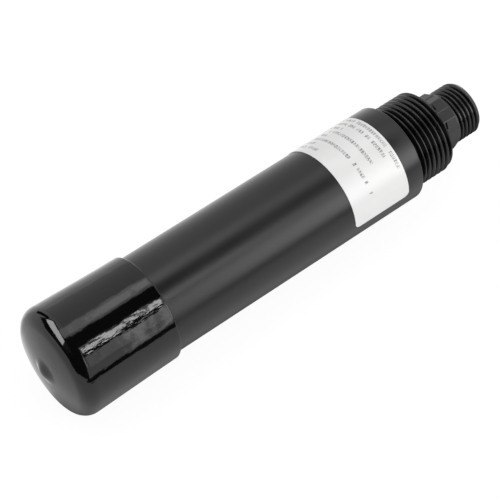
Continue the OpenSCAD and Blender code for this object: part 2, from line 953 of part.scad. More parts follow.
// Stub in the neck, eight-sided ring, collar, thread and keyed socket in one piece
module connector_shell() {
    thread = thread_points(
        coupling_first_x, coupling_turns, coupling_pitch,
        coupling_root_r, coupling_depth, coupling_crest, coupling_root
    );
    collar_r = coupling_root_r + coupling_depth * 0.6;
    color("#3b3c3f") {
        difference() {
            union() {
                turned()
                    polygon(concat(
                        [
                            [insert_hole_r, stub_x],
                            [connector_stub_r - 0.4, stub_x],
                            [connector_stub_r, stub_x + 0.4],
                            [connector_stub_r, gasket_x],
                            [gasket_r, gasket_x],
                            [gasket_r, octagon_end_x - 1],
                            [collar_r, octagon_end_x - 1],
                            [collar_r, collar_end_x],
                            [coupling_root_r, collar_end_x]
                        ],
                        [for (i = [0 : len(thread) - 2]) thread[i]],
                        [
                            [coupling_root_r + 0.2, coupling_end_x],
                            [socket_r + 0.4, coupling_end_x],
                            [socket_r, coupling_end_x - 0.4],
                            [socket_r, insert_x],
                            [insert_hole_r, insert_x]
                        ]
                    ));
                octagon_ring();
            }
            flat_slots();
        }
        translate([insert_face_x + 0.4, -key_w / 2, socket_r - key_h])
            cube([coupling_end_x - insert_face_x - 1.6, key_w, key_h + 0.3]);
    }
}

// Eight-sided ring with its front corners bevelled round
module octagon_ring() {
    difference() {
        intersection() {
            translate([octagon_x, 0, 0])
                rotate([octagon_turn, 0, 0])
                    rotate([0, 90, 0])
                        cylinder(r = octagon_r, h = octagon_l, $fn = 8);
            turned()
                polygon([
                    [0, octagon_x - 1],
                    [octagon_r + 0.1, octagon_x - 1],
                    [octagon_r + 0.1, octagon_end_x - octagon_bevel * 0.8],
                    [octagon_flats / 2 - octagon_bevel * 0.3, octagon_end_x],
                    [0, octagon_end_x]
                ]);
        }
        bar(octagon_x - 1, octagon_end_x + 1, (gasket_r + insert_hole_r) / 2);
    }
}

module connector_gasket() {
    color("#1b1b1c")
        turned()
            ring_profile(gasket_x, octagon_x, gasket_r + fit, octagon_flats / 2 + gasket_reach);
}

// Insulator with stepped holes for the four pins
module connector_insert() {
    color("#1d1e20")
        difference() {
            union() {
                bar(insert_back_x, insert_x, insert_hole_r - fit);
                bar(insert_x - 1, insert_face_x, socket_r - fit);
            }
            for (i = [0 : 3])
                translate([0, pin_y(i), pin_z(i)]) {
                    bar(insert_back_x - 1, pin_step_x + 0.05, cup_d / 2 + fit);
                    bar(pin_step_x, insert_face_x + 1, pin_d / 2 + fit);
                }
        }
}

// Four round-nosed pins with a solder cup at the back
module contact_pins() {
    nose = pin_d / 2;
    color("#c9a24a")
        for (i = [0 : 3])
            translate([0, pin_y(i), pin_z(i)])
                difference() {
                    union() {
                        bar(cup_x, pin_step_x, cup_d / 2);
                        bar(pin_step_x - 0.5, pin_tip_x - nose, pin_d / 2);
                        translate([pin_tip_x - nose, 0, 0])
                            sphere(r = nose);
                    }
                    bar(cup_x - 1, cup_x + cup_depth, cup_hole_r);
                }
}

protective_cap();
housing();
label();
optical_head();
head_o_ring_front();
head_o_ring_rear();
window();
window_seal();
window_retainer();
optics_block();
block_screws();
excitation_led();
excitation_lens();
excitation_filter();
photodiode();
detector_lens();
emission_filter();
optics_board();
optics_board_screws();
board_link();
main_board();
front_board_guide();
rear_board_guide();
controller_chip();
amplifier_chip();
transceiver_chip();
power_inductor();
storage_capacitors();
wire_header();
wire_red();
wire_black();
wire_yellow();
wire_blue();
connector_shell();
connector_insert();
contact_pins();
connector_gasket();
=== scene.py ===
"""Looks of a chlorophyll sensor, lying on a pale floor with its soft cap on.

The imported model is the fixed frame. The housing, the tail connector, the cap and the label are made
again here with their fine forms, and every other node keeps its mesh and gets its finish.
Lengths are in metres. Turns round the axis are measured from the top, +Z, towards the front, -Y.
"""

import json
import math

import bmesh
import bpy
from bpy.props import BoolProperty, FloatProperty, FloatVectorProperty, IntProperty, PointerProperty
from mathutils import Matrix, Vector, noise


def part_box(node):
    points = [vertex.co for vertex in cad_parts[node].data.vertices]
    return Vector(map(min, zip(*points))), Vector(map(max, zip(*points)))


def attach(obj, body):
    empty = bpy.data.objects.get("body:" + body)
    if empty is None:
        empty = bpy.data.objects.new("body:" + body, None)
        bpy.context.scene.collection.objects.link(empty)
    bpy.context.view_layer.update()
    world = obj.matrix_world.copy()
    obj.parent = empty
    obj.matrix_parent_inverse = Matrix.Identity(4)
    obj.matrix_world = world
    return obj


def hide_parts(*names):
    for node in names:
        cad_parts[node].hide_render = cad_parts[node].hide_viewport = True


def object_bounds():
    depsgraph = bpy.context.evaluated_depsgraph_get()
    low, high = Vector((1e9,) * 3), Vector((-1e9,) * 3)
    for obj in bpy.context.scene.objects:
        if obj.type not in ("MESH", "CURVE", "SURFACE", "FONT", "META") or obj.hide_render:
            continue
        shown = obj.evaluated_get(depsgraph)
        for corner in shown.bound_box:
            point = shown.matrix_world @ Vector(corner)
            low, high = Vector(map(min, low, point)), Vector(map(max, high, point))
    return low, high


bl_info = {
    "name": "Chlorophyll sensor",
    "version": (1, 0, 0),
    "blender": (4, 5, 0),
    "location": "3D Viewport > Sidebar > Sensor",
    "description": "Housing, cap, label and tail connector of a chlorophyll sensor, with their finishes",
    "category": "Object",
}

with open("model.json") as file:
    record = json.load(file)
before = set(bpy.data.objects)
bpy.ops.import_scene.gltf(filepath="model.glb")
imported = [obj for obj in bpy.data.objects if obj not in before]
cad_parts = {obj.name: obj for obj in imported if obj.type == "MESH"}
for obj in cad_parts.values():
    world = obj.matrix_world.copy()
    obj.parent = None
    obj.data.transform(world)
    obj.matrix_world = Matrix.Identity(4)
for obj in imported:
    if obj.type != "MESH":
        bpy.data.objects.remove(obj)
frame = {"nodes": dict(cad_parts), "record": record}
CAD_BOUNDS = [list(corner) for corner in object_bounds()]
CAD_LOW = CAD_BOUNDS[0]
MM = 0.001

HOUSING_LOW, HOUSING_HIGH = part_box("housing")
SHELL_LOW, SHELL_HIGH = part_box("connector_shell")
GASKET_LOW, GASKET_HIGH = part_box("connector_gasket")
CAP_LOW, CAP_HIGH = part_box("protective_cap")
LABEL_LOW, LABEL_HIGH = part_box("label")
HEAD_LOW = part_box("optical_head")[0]
GUIDE_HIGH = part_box("front_board_guide")[1]
INSERT_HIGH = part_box("connector_insert")[1]
FIT = 0.05 * MM
STUB_R = INSERT_HIGH.z + FIT + 1.4 * MM
NECK_BORE_R = STUB_R + FIT
SLOT_COLOURS = {m["slot"]: tuple(m["base_color"][:3]) for m in frame["record"]["materials"]}
NODE_SLOTS = {s["node"]: s["material_slot"] for s in frame["record"]["subparts"]}

# Depth of a thread as a share of its pitch
PIPE_DEPTH, METRIC_DEPTH = 0.6403, 0.5413


def length(name, text, default, low=0.0, high=1.0):
    """A length in metres."""
    return FloatProperty(
        name=name, description=text, default=default, min=low, max=high, unit="LENGTH", precision=5
    )


def colour(name, text, default):
    """A plain colour."""
    return FloatVectorProperty(
        name=name, description=text, default=default, size=3, min=0.0, max=1.0, subtype="COLOR"
    )


def angle(name, text, default):
    """An angle, written in degrees."""
    return FloatProperty(name=name, description=text, default=math.radians(default), subtype="ANGLE")


class SensorThreadSizes(bpy.types.PropertyGroup):
    """Sizes of the two threads and of the parts beside them."""

    pitch: length("Pitch", "Pitch of the mounting thread", 1.814 * MM)
    crest_r: length("Crest radius", "Outer radius of the mounting thread", 13.22 * MM)
    shoulder_x: length("Shoulder", "Place of the shoulder along the axis", -7.335 * MM, -1.0)
    first_x: length("First crest", "Place of the first crest, seen from the front", -4.62 * MM, -1.0)
    front_turn: angle("Front", "Turn at which the first crests are placed", 31.8)
    start_turn: angle("Start", "Turn at which the mounting thread starts", -90.0)
    coupling_pitch: length("Coupling pitch", "Pitch of the connector's thread", 1.5 * MM)
    coupling_r: length("Coupling radius", "Outer radius of the connector's thread", 8.5 * MM)
    coupling_x: length("Coupling first crest", "Place of its first crest", 14.99 * MM, -1.0)
    coupling_turn: angle("Coupling start", "Turn at which the connector's thread starts", -12.0)
    octagon_flats: length("Flats", "Width across the flats of the eight-sided ring", 17.5 * MM)
    octagon_l: length("Ring length", "Length of the eight-sided ring", 5.8 * MM)
    slot_at: length("Slot place", "From the foot of that ring to the slots in its flats", 1.45 * MM)
    octagon_turn: angle("Ring turn", "Turn of a corner of the eight-sided ring", -6.0)
    collar_l: length("Collar", "Length of the round collar", 0.95 * MM)
    socket_r: length("Socket radius", "Radius of the socket", 5.9 * MM)


class SensorCapSizes(bpy.types.PropertyGroup):
    """Sizes of the soft cap."""

    rim_wall: length("Rim wall", "Wall at the rim", 1.05 * MM)
    corner: length("Corner", "Radius of the rounded end", 4.9 * MM)
    dome: length("Dome", "Rise of the domed end", 1.5 * MM)
    nub_r: length("Nub radius", "Radius of the drip nub", 4.7 * MM)
    nub_h: length("Nub height", "Height of the drip nub", 1.05 * MM)
    floor: length("Floor", "Thickness of the end at its edge", 1.45 * MM)
    swell: length("Swell", "Depth of the slow waves of the dipped skin", 0.05 * MM)
    ripple: length("Ripple", "Depth of the small ripples of the dipped skin", 0.012 * MM)
    seed: IntProperty(name="Seed", description="Seed of the waves", default=7)


class SensorLabelSizes(bpy.types.PropertyGroup):
    """Sizes of the label."""

    arc: angle("Arc", "Part of the circle that the label goes round", 184.0)
    corner: length("Corner", "Radius of its corners", 1.7 * MM)
    skew: length("Skew", "Drift along the axis for each radian round it", 0.483 * MM)
    row_pitch: length("Row pitch", "Distance between printed rows", 2.33 * MM)
    first_row: length("First row", "From the label's edge to the edge of its first row", 1.735 * MM)


class SensorColours(bpy.types.PropertyGroup):
    """Colours of the main pieces."""

    body: colour("Body", "Turned plastic of the body", (0.007, 0.007, 0.0075))
    cap: colour("Cap", "Dipped vinyl of the cap", (0.0025, 0.0025, 0.0027))
    connector: colour("Connector", "Moulded plastic of the connector", (0.014, 0.014, 0.015))
    label: colour("Label", "Film of the label", (0.77, 0.77, 0.764))
    ink: colour("Ink", "Print on the label", (0.12, 0.12, 0.125))
    floor: colour("Floor", "Studio floor", (0.9, 0.9, 0.9))


class SensorStage(bpy.types.PropertyGroup):
    """Camera and light."""

    lens: FloatProperty(name="Lens", description="Focal length in millimetres", default=142.8)
    distance: length("Distance", "From the camera to the point it looks at", 0.57998, 0.1, 5.0)
    elevation: angle("Elevation", "Height of the camera over the horizon", 51.28)
    azimuth: angle("Azimuth", "Turn of the camera round the sensor", -39.3)
    aim: FloatVectorProperty(
        name="Aim", description="Point in the middle of the picture", subtype="TRANSLATION", precision=5,
        default=(-0.05793, 0.003543, -0.009683),
    )
    reach: length("Reach", "Distance of the lamps and cards from the axis", 0.75, 0.1, 5.0)
    ambient: FloatProperty(name="Ambient", description="Light of the room on matt surfaces", default=0.78)


class SensorSettings(bpy.types.PropertyGroup):
    """All settings of the sensor."""

    thread: PointerProperty(type=SensorThreadSizes)
    cap: PointerProperty(type=SensorCapSizes)
    label: PointerProperty(type=SensorLabelSizes)
    colours: PointerProperty(type=SensorColours)
    stage: PointerProperty(type=SensorStage)
    show_print: BoolProperty(name="Print", description="Grey rows on the label", default=True)


def settings():
    """The sizes and colours that the panel shows."""
    return bpy.context.scene.sensor


# Mesh helpers


def new_object(name, data):
    """An object at the origin, in the scene."""
    obj = bpy.data.objects.new(name, data)
    bpy.context.scene.collection.objects.link(obj)
    return obj


def add_piece(mesh, material, body, node):
    """A finished piece named like its mesh, which rides on its body and stands for its CAD node."""
    mesh.materials.clear()
    mesh.materials.append(material)
    piece = new_object(mesh.name, mesh)
    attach(piece, body)
    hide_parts(node)


def ring_point(x, r, turn):
    """A point at radius r and at a turn round the axis."""
    return Vector((x, -r * math.sin(turn), r * math.cos(turn)))


def arc(x, r, radius, start, end, steps):
    """Points (x, r) on an arc. Its angles in degrees are measured from +X towards larger radii."""
    out = []
    for i in range(steps + 1):
        a = math.radians(start + (end - start) * i / steps)
        out.append((x + radius * math.cos(a), r + radius * math.sin(a)))
    return out


def slope(start, end, steps):
    """The points (x, r) between two others, without those two."""
    out = []
    for i in range(1, steps):
        share = i / steps
        out.append(tuple(a + (b - a) * share for a, b in zip(start, end)))
    return out


def bridge(bm, low, high):
    """Faces between two rings of vertices, either of which may be one vertex on the axis."""
    count = max(len(low), len(high))
    for k in range(count if count > 1 else 0):
        n = (k + 1) % count
        if len(low) == 1:
            bm.faces.new((low[0], high[k], high[n]))
        elif len(high) == 1:
            bm.faces.new((low[k], high[0], low[n]))
        else:
            bm.faces.new((low[k], high[k], high[n], low[n]))


def lathe(bm, outline, segments, closed=True):
    """Turns (x, r) points round the axis. A point on the axis becomes one vertex."""
    rings = []
    for x, r in outline:
        count = 1 if r < 1e-7 else segments
        rings.append([bm.verts.new(ring_point(x, r, math.tau * k / count)) for k in range(count)])
    for low, high in zip(rings, rings[1:] + rings[:1] if closed else rings[1:]):
        bridge(bm, low, high)


def finish_mesh(bm, name, sharp_degrees):
    """A mesh with outward faces, smooth apart from its sharp edges."""
    bmesh.ops.recalc_face_normals(bm, faces=bm.faces)
    mesh = bpy.data.meshes.new(name)
    bm.to_mesh(mesh)
    bm.free()
    for polygon in mesh.polygons:
        polygon.use_smooth = True
    mesh.set_sharp_from_angle(angle=math.radians(sharp_degrees))
    return mesh


def join_meshes(name, meshes, sharp_degrees):
    """One mesh made of several, with outward faces."""
    bm = bmesh.new()
    for mesh in meshes:
        bm.from_mesh(mesh)
    return finish_mesh(bm, name, sharp_degrees)


def flat_mesh(name, long, wide):
    """A flat rectangle that faces +Z."""
    bm = bmesh.new()
    bmesh.ops.create_grid(bm, x_segments=1, y_segments=1, size=0.5)
    bmesh.ops.scale(bm, vec=(long, wide, 1.0), verts=bm.verts)
    mesh = bpy.data.meshes.new(name)
    bm.to_mesh(mesh)
    bm.free()
    return mesh


# Node helpers


def set_inputs(tree, node, inputs):
    """Sets inputs by name or number: to a value, or linked to a socket or to a node's first output."""
    for key, value in inputs.items():
        if isinstance(value, bpy.types.Node):
            value = value.outputs[0]
        if isinstance(value, bpy.types.NodeSocket):
            tree.links.new(value, node.inputs[key])
        else:
            node.inputs[key].default_value = value


def add_node(tree, kind, inputs=None, **attributes):
    """A node with its attributes and inputs set."""
    node = tree.nodes.new(kind)
    for name, value in attributes.items():
        setattr(node, name, value)
    set_inputs(tree, node, inputs or {})
    return node


def find_node(tree, kind):
    """The node of a type that a tree has only once."""
    return next(node for node in tree.nodes if node.type == kind)


def calc(tree, operation, *operands):
    """The result of a Math node. Each operand is a number, a socket or a node."""
    return add_node(tree, "ShaderNodeMath", dict(enumerate(operands)), operation=operation).outputs[0]


def product(tree, first, *others):
    """The product of several values."""
    for other in others:
        first = calc(tree, "MULTIPLY", first, other)
    return first


def change_range(tree, value, low, high, at_low=0.0, at_high=1.0, kind="SMOOTHSTEP"):
    """A value carried over from one range to another."""
    inputs = {"Value": value, "From Min": low, "From Max": high, "To Min": at_low, "To Max": at_high}
    return add_node(tree, "ShaderNodeMapRange", inputs, interpolation_type=kind).outputs["Result"]


def split_xyz(tree, vector):
    """The three numbers of a vector."""
    return add_node(tree, "ShaderNodeSeparateXYZ", {"Vector": vector}).outputs


def add_noise(tree, vector, scale, detail, rough, dimensions="3D"):
    """A Noise Texture node."""
    inputs = {"Vector": vector, "Scale": scale, "Detail": detail, "Roughness": rough}
    return add_node(tree, "ShaderNodeTexNoise", inputs, noise_dimensions=dimensions)


def add_bump(tree, height, distance, normal=None):
    """The normal that a height gives, alone or on top of another one."""
    inputs = {"Strength": 1.0, "Distance": distance, "Height": height}
    if normal is not None:
        inputs["Normal"] = normal
    return add_node(tree, "ShaderNodeBump", inputs).outputs["Normal"]


def grey_ramp(tree, place, stops, interpolation="LINEAR"):
    """The grey that a Color Ramp has at a place, from its stops (position, value)."""
    node = add_node(tree, "ShaderNodeValToRGB", {"Fac": place})
    node.color_ramp.interpolation = interpolation
    elements = node.color_ramp.elements
    while len(elements) < len(stops):
        elements.new(1.0)
    for element, (spot, value) in zip(elements, stops):
        element.position = spot
        element.color = (value, value, value, 1.0)
    return node.outputs["Color"]


def new_group(name, kind, inputs, outputs):
    """A node group with named sockets. Each has a default or, without one, the name of its type."""
    tree = bpy.data.node_groups.new(name, kind)
    types = {float: "Float", int: "Int", tuple: "Color"}
    for in_out, sockets in (("INPUT", inputs), ("OUTPUT", outputs)):
        for socket_name, default in sockets.items():
            type_name = default if isinstance(default, str) else types[type(default)]
            socket = tree.interface.new_socket(
                socket_name, in_out=in_out, socket_type="NodeSocket" + type_name
            )
            if type_name != default:
                socket.default_value = default
    return tree, tree.nodes.new("NodeGroupInput").outputs, tree.nodes.new("NodeGroupOutput")


# Geometry Nodes


def along_x(tree, value):
    """A vector along X."""
    return add_node(tree, "ShaderNodeCombineXYZ", {"X": value})


def helix_tree():
    """Geometry Nodes tree of a screw thread's ridge along +X, its start at the origin's plane."""
    tree, given, sink = new_group(
        "Screw ridge", "GeometryNodeTree",
        {
            "Geometry": "Geometry", "Pitch": 1.814 * MM, "Turns": 6.0, "Root radius": 12.0 * MM,
            "Depth": 1.16 * MM, "Crest width": 0.3 * MM, "Foot width": 1.51 * MM, "Rounding": 0.1 * MM,
            "Start taper": 0.15, "End taper": 1.0, "Start turn": 0.0, "Start place": 0.0, "Steps": 96,
            "Material": "Material",
        },
        {"Geometry": "Geometry"},
    )
    sunk = 0.12 * MM
    quarter = math.pi / 2
    spiral = add_node(tree, "GeometryNodeCurveSpiral", {
        "Resolution": given["Steps"], "Rotations": given["Turns"], "Reverse": True,
        "Start Radius": given["Root radius"], "End Radius": given["Root radius"],
        "Height": product(tree, given["Pitch"], given["Turns"]),
    })
    upright = add_node(tree, "GeometryNodeSetCurveNormal", {"Curve": spiral}, mode="Z_UP")

    # The ridge grows out of the root at its start and sinks back at its end
    least, roundness = 0.03, 0.8
    from_start = product(tree, add_node(tree, "GeometryNodeSplineParameter"), given["Turns"])
    from_end = calc(tree, "SUBTRACT", given["Turns"], from_start)
    start_share = calc(tree, "DIVIDE", from_start, given["Start taper"])
    end_share = calc(tree, "DIVIDE", from_end, given["End taper"])
    share = calc(tree, "MINIMUM", calc(tree, "MINIMUM", start_share, end_share), 1.0)
    rounded_off = calc(tree, "POWER", calc(tree, "MAXIMUM", share, 0.001), roundness)
    size = calc(tree, "MAXIMUM", rounded_off, least)
    path = add_node(tree, "GeometryNodeSetCurveRadius", {"Curve": upright, "Radius": size})

    height = calc(tree, "ADD", given["Depth"], sunk)
    profile = add_node(tree, "GeometryNodeCurvePrimitiveQuadrilateral", {
        "Height": height, "Bottom Width": given["Foot width"], "Top Width": given["Crest width"],
        "Offset": 0.0,
    }, mode="TRAPEZOID")
    rounded = add_node(tree, "GeometryNodeFilletCurve", {
        "Curve": profile, "Radius": given["Rounding"], "Count": 3,
    }, mode="POLY")
    lift = calc(tree, "SUBTRACT", product(tree, height, 0.5), sunk)
    turned = add_node(tree, "GeometryNodeTransform", {
        "Geometry": rounded, "Translation": along_x(tree, lift), "Rotation": (0.0, 0.0, -quarter),
    })
    sweep = add_node(tree, "GeometryNodeCurveToMesh", {
        "Curve": path, "Profile Curve": turned, "Fill Caps": True,
    })

    laid = add_node(tree, "GeometryNodeTransform", {"Geometry": sweep, "Rotation": (0.0, quarter, 0.0)})
    placed = add_node(tree, "GeometryNodeTransform", {
        "Geometry": laid, "Rotation": along_x(tree, given["Start turn"]),
        "Translation": along_x(tree, given["Start place"]),
    })
    real = add_node(tree, "GeometryNodeRealizeInstances", {"Geometry": placed})
    dressed = add_node(tree, "GeometryNodeSetMaterial", {"Geometry": real, "Material": given["Material"]})
    set_inputs(tree, sink, {"Geometry": dressed})
    return tree


def run_tree(tree, values):
    """The plain mesh that a Geometry Nodes tree makes with these values for its named inputs."""
    carrier = new_object("carrier", bpy.data.meshes.new("carrier"))
    modifier = carrier.modifiers.new("nodes", "NODES")
    modifier.node_group = tree
    identifiers = {
        item.name: item.identifier
        for item in tree.interface.items_tree
        if item.item_type == "SOCKET" and item.in_out == "INPUT"
    }
    for name, value in values.items():
        modifier[identifiers[name]] = value
    bpy.context.view_layer.update()
    depsgraph = bpy.context.evaluated_depsgraph_get()
    mesh = bpy.data.meshes.new_from_object(carrier.evaluated_get(depsgraph))
    carrier.modifiers.remove(modifier)
    bpy.data.objects.remove(carrier)
    return mesh


def thread_ridge(pitch, depth, root_r, first_x, start_turn, end_x, material, form):
    """Ridge of a right-hand thread that ends at end_x. Its first crest on the front is at first_x."""
    start_x = first_x - pitch * (settings().thread.front_turn - start_turn) / math.tau
    return run_tree(helix_tree(), {
        "Pitch": pitch,
        "Turns": (end_x - start_x) / pitch,
        "Root radius": root_r,
        "Depth": depth,
        "Start taper": 0.12,
        "Start turn": start_turn + math.pi,
        "Start place": start_x,
        "Material": material,
        **form,
    })


# Shader groups


def plastic_grain(name):
    """Uneven colour and gloss of a plastic, and the height of its fine grain."""
    tree, given, sink = new_group(
        name, "ShaderNodeTree",
        {
            "Vector": "Vector", "Dark": (0.02, 0.02, 0.02, 1.0), "Light": (0.04, 0.04, 0.04, 1.0),
            "Patch scale": 60.0, "Grain scale": 2500.0, "Roughness low": 0.3, "Roughness high": 0.4,
        },
        {"Color": "Color", "Roughness": "Float", "Height": "Float"},
    )
    patches = add_noise(tree, given["Vector"], given["Patch scale"], 4.0, 0.6)
    mix = add_node(tree, "ShaderNodeMix", {
        "Factor": patches, "A": given["Dark"], "B": given["Light"],
    }, data_type="RGBA")
    gloss = change_range(
        tree, patches, 0.3, 0.7, given["Roughness low"], given["Roughness high"], kind="LINEAR"
    )
    grain = add_noise(tree, given["Vector"], given["Grain scale"], 3.0, 0.55)
    set_inputs(tree, sink, {"Color": mix.outputs["Result"], "Roughness": gloss, "Height": grain})
    return tree


def groove_shade_mask(name):
    """Mask of the painted shade in the grooves of a thread: 1 below a radius, between two places along the
    axis.
    """
    tree, given, sink = new_group(
        name, "ShaderNodeTree",
        {"Vector": "Vector", "From": 0.0, "To": 0.01, "Crest radius": 0.01, "Depth": 0.001},
        {"Mask": "Float"},
    )
    x, y, z = split_xyz(tree, given["Vector"])
    squares = calc(tree, "MULTIPLY_ADD", z, z, product(tree, y, y))
    below = calc(tree, "SUBTRACT", given["Crest radius"], calc(tree, "SQRT", squares))
    share = calc(tree, "DIVIDE", below, given["Depth"])
    share = calc(tree, "MINIMUM", calc(tree, "MAXIMUM", share, 0.0), 1.0)
    after = calc(tree, "GREATER_THAN", x, given["From"])
    before = calc(tree, "LESS_THAN", x, given["To"])
    set_inputs(tree, sink, {"Mask": product(tree, share, after, before)})
    return tree


def turning_lines(name):
    """Height of the fine lines that a lathe leaves round the axis."""
    tree, given, sink = new_group(
        name, "ShaderNodeTree", {"Vector": "Vector", "Feed": 0.1 * MM}, {"Height": "Float"}
    )
    steps = calc(tree, "DIVIDE", split_xyz(tree, given["Vector"])["X"], given["Feed"])
    lines = add_node(
        tree, "ShaderNodeTexNoise", {"W": steps, "Scale": 1.0, "Detail": 2.0}, noise_dimensions="1D"
    )
    set_inputs(tree, sink, {"Height": lines})
    return tree


def printed_rows(name):
    """Mask of small grey rows on a label, from its own map in metres: U round the body, V along it."""
    tree, given, sink = new_group(
        name, "ShaderNodeTree",
        {
            "Vector": "Vector", "Row pitch": 2.33 * MM, "First row": 1.7 * MM, "Mark width": 0.9 * MM,
            "Margin": 1.7 * MM, "Longest row": 45.0 * MM,
        },
        {"Mask": "Float"},
    )
    half_height, mark_share, blank_share, ink_share = 0.25, 0.8, 0.17, 0.45
    row_shares = (0.447, 0.382, 0.911, 0.382, 0.744, 0.393, 0.751, 0.864)
    along, across, _ = split_xyz(tree, given["Vector"])
    rows = calc(tree, "DIVIDE", calc(tree, "SUBTRACT", across, given["First row"]), given["Row pitch"])
    marks = calc(tree, "DIVIDE", along, given["Mark width"])
    key = add_node(tree, "ShaderNodeCombineXYZ", {
        "X": calc(tree, "FLOOR", marks), "Y": calc(tree, "FLOOR", rows),
    })
    chance = add_node(tree, "ShaderNodeTexWhiteNoise", {"Vector": key}, noise_dimensions="2D")
    off_middle = calc(tree, "ABSOLUTE", calc(tree, "SUBTRACT", calc(tree, "FRACT", rows), 0.5))
    stops = [(i / len(row_shares), share) for i, share in enumerate(row_shares)]
    row_share = grey_ramp(tree, calc(tree, "DIVIDE", rows, len(row_shares)), stops, "CONSTANT")
    row_end = product(tree, row_share, given["Longest row"])
    strokes = add_noise(tree, given["Vector"], 2600.0, 1.0, 0.5, "2D")

    band = calc(tree, "LESS_THAN", off_middle, half_height)
    tone = calc(tree, "MULTIPLY_ADD", calc(tree, "FRACT", product(tree, chance, 7.0)), 0.5, 0.5)
    word = calc(tree, "GREATER_THAN", chance, blank_share)
    mark = calc(tree, "LESS_THAN", calc(tree, "FRACT", marks), mark_share)
    before_end = calc(tree, "LESS_THAN", along, row_end)
    after_margin = calc(tree, "GREATER_THAN", along, given["Margin"])
    from_first = calc(tree, "GREATER_THAN", rows, 0.0)
    ink = calc(tree, "GREATER_THAN", strokes, ink_share)
    mask = product(tree, band, tone, word, mark, before_end, after_margin, from_first, ink)
    set_inputs(tree, sink, {"Mask": mask})
    return tree


SHADER_GROUPS = {
    "Plastic grain": plastic_grain,
    "Groove shade mask": groove_shade_mask,
    "Turning lines": turning_lines,
    "Printed rows": printed_rows,
}


def group_node(tree, name, inputs):
    """A node with one of the shader groups, which is built on its first use."""
    group = bpy.data.node_groups.get(name) or SHADER_GROUPS[name](name)
    return add_node(tree, "ShaderNodeGroup", inputs, node_tree=group)


# Materials


def shade(rgb, factor=1.0):
    """A colour with its alpha, as it is, lighter or darker."""
    return tuple(min(1.0, c * factor) for c in rgb) + (1.0,)


def plain_material(name):
    """A material with nothing but its shader and output, and its tree and shader."""
    material = bpy.data.materials.new(name)
    material.use_nodes = True
    tree = material.node_tree
    tree.nodes.clear()
    shader = add_node(tree, "ShaderNodeBsdfPrincipled")
    add_node(tree, "ShaderNodeOutputMaterial", {"Surface": shader})
    return material, tree, shader


def grainy_material(name, rgb, darkest, lightest, rough, patch_scale=60.0, grain_scale=2500.0):
    """A material with uneven colour and gloss, its tree and shader, coordinates and grain height."""
    material, tree, shader = plain_material(name)
    where = add_node(tree, "ShaderNodeTexCoord").outputs
    grain = group_node(tree, "Plastic grain", {
        "Vector": where["Object"], "Dark": shade(rgb, darkest), "Light": shade(rgb, lightest),
        "Patch scale": patch_scale, "Grain scale": grain_scale,
        "Roughness low": rough[0], "Roughness high": rough[1],
    }).outputs
    set_inputs(tree, shader, {"Base Color": grain["Color"], "Roughness": grain["Roughness"]})
    return material, tree, shader, where, grain["Height"]


def cover_colour(tree, shader, mask, rgb):
    """Lays a colour over the shader's own where a mask is above 0."""
    own = shader.inputs["Base Color"].links[0].from_socket
    mix = add_node(tree, "ShaderNodeMix", {"Factor": mask, "A": own, "B": shade(rgb)}, data_type="RGBA")
    set_inputs(tree, shader, {"Base Color": mix.outputs["Result"]})


def paint_groove_shade(material, start, end, crest_r, fade):
    """Painted shade: deep black laid on the colour in the grooves of the thread between two places, from a
    little below its crests, where the grooves lie in shade. The grooves are also made glossier.
    """
    below_crests, gloss_share = 0.04 * MM, 0.5
    tree = material.node_tree
    shader = find_node(tree, "BSDF_PRINCIPLED")
    mask = group_node(tree, "Groove shade mask", {
        "Vector": add_node(tree, "ShaderNodeTexCoord").outputs["Object"], "From": start, "To": end,
        "Crest radius": crest_r - below_crests, "Depth": fade,
    })
    # Painted shade: near-black colour in the grooves, standing in for the shade in them
    cover_colour(tree, shader, mask, (0.0008, 0.0008, 0.0008))
    rough = shader.inputs["Roughness"].links[0].from_socket
    glossier = calc(tree, "MULTIPLY_ADD", mask, -gloss_share, 1.0)
    set_inputs(tree, shader, {"Roughness": product(tree, rough, glossier)})


def plastic_material(name, rgb, rough, grain_depth, spread=0.15, patch_scale=60.0, grain_scale=2500.0,
                     metallic=0.0, turning=0.0):
    """Plastic, rubber or metal with uneven colour and gloss, a fine grain and, if turned, its lines."""
    material, tree, shader, where, grain = grainy_material(
        name, rgb, 1.0 - spread, 1.0 + spread, rough, patch_scale, grain_scale
    )
    normal = add_bump(tree, grain, grain_depth)
    if turning:
        lines = group_node(tree, "Turning lines", {"Vector": where["Object"]})
        normal = add_bump(tree, lines, turning, normal)
    set_inputs(tree, shader, {"Metallic": metallic, "Normal": normal})
    return material


def glass_material(name, rgb, rough=0.02):
    """Clear or tinted glass."""
    material, tree, shader, _, _ = grainy_material(name, rgb, 0.98, 1.0, (rough, rough * 2.0))
    set_inputs(tree, shader, {"Transmission Weight": 1.0, "IOR": 1.5})
    return material


def body_material():
    """Satin turned black plastic of the tube and the neck."""
    return plastic_material(
        "body_plastic", settings().colours.body, (0.27, 0.33), 0.002 * MM, spread=0.1,
        patch_scale=45.0, grain_scale=3500.0, turning=0.0015 * MM,
    )


def connector_material():
    """Satin moulded nylon of the tail connector."""
    return plastic_material(
        "connector_plastic", settings().colours.connector, (0.34, 0.42), 0.006 * MM,
        spread=0.12, grain_scale=2200.0,
    )


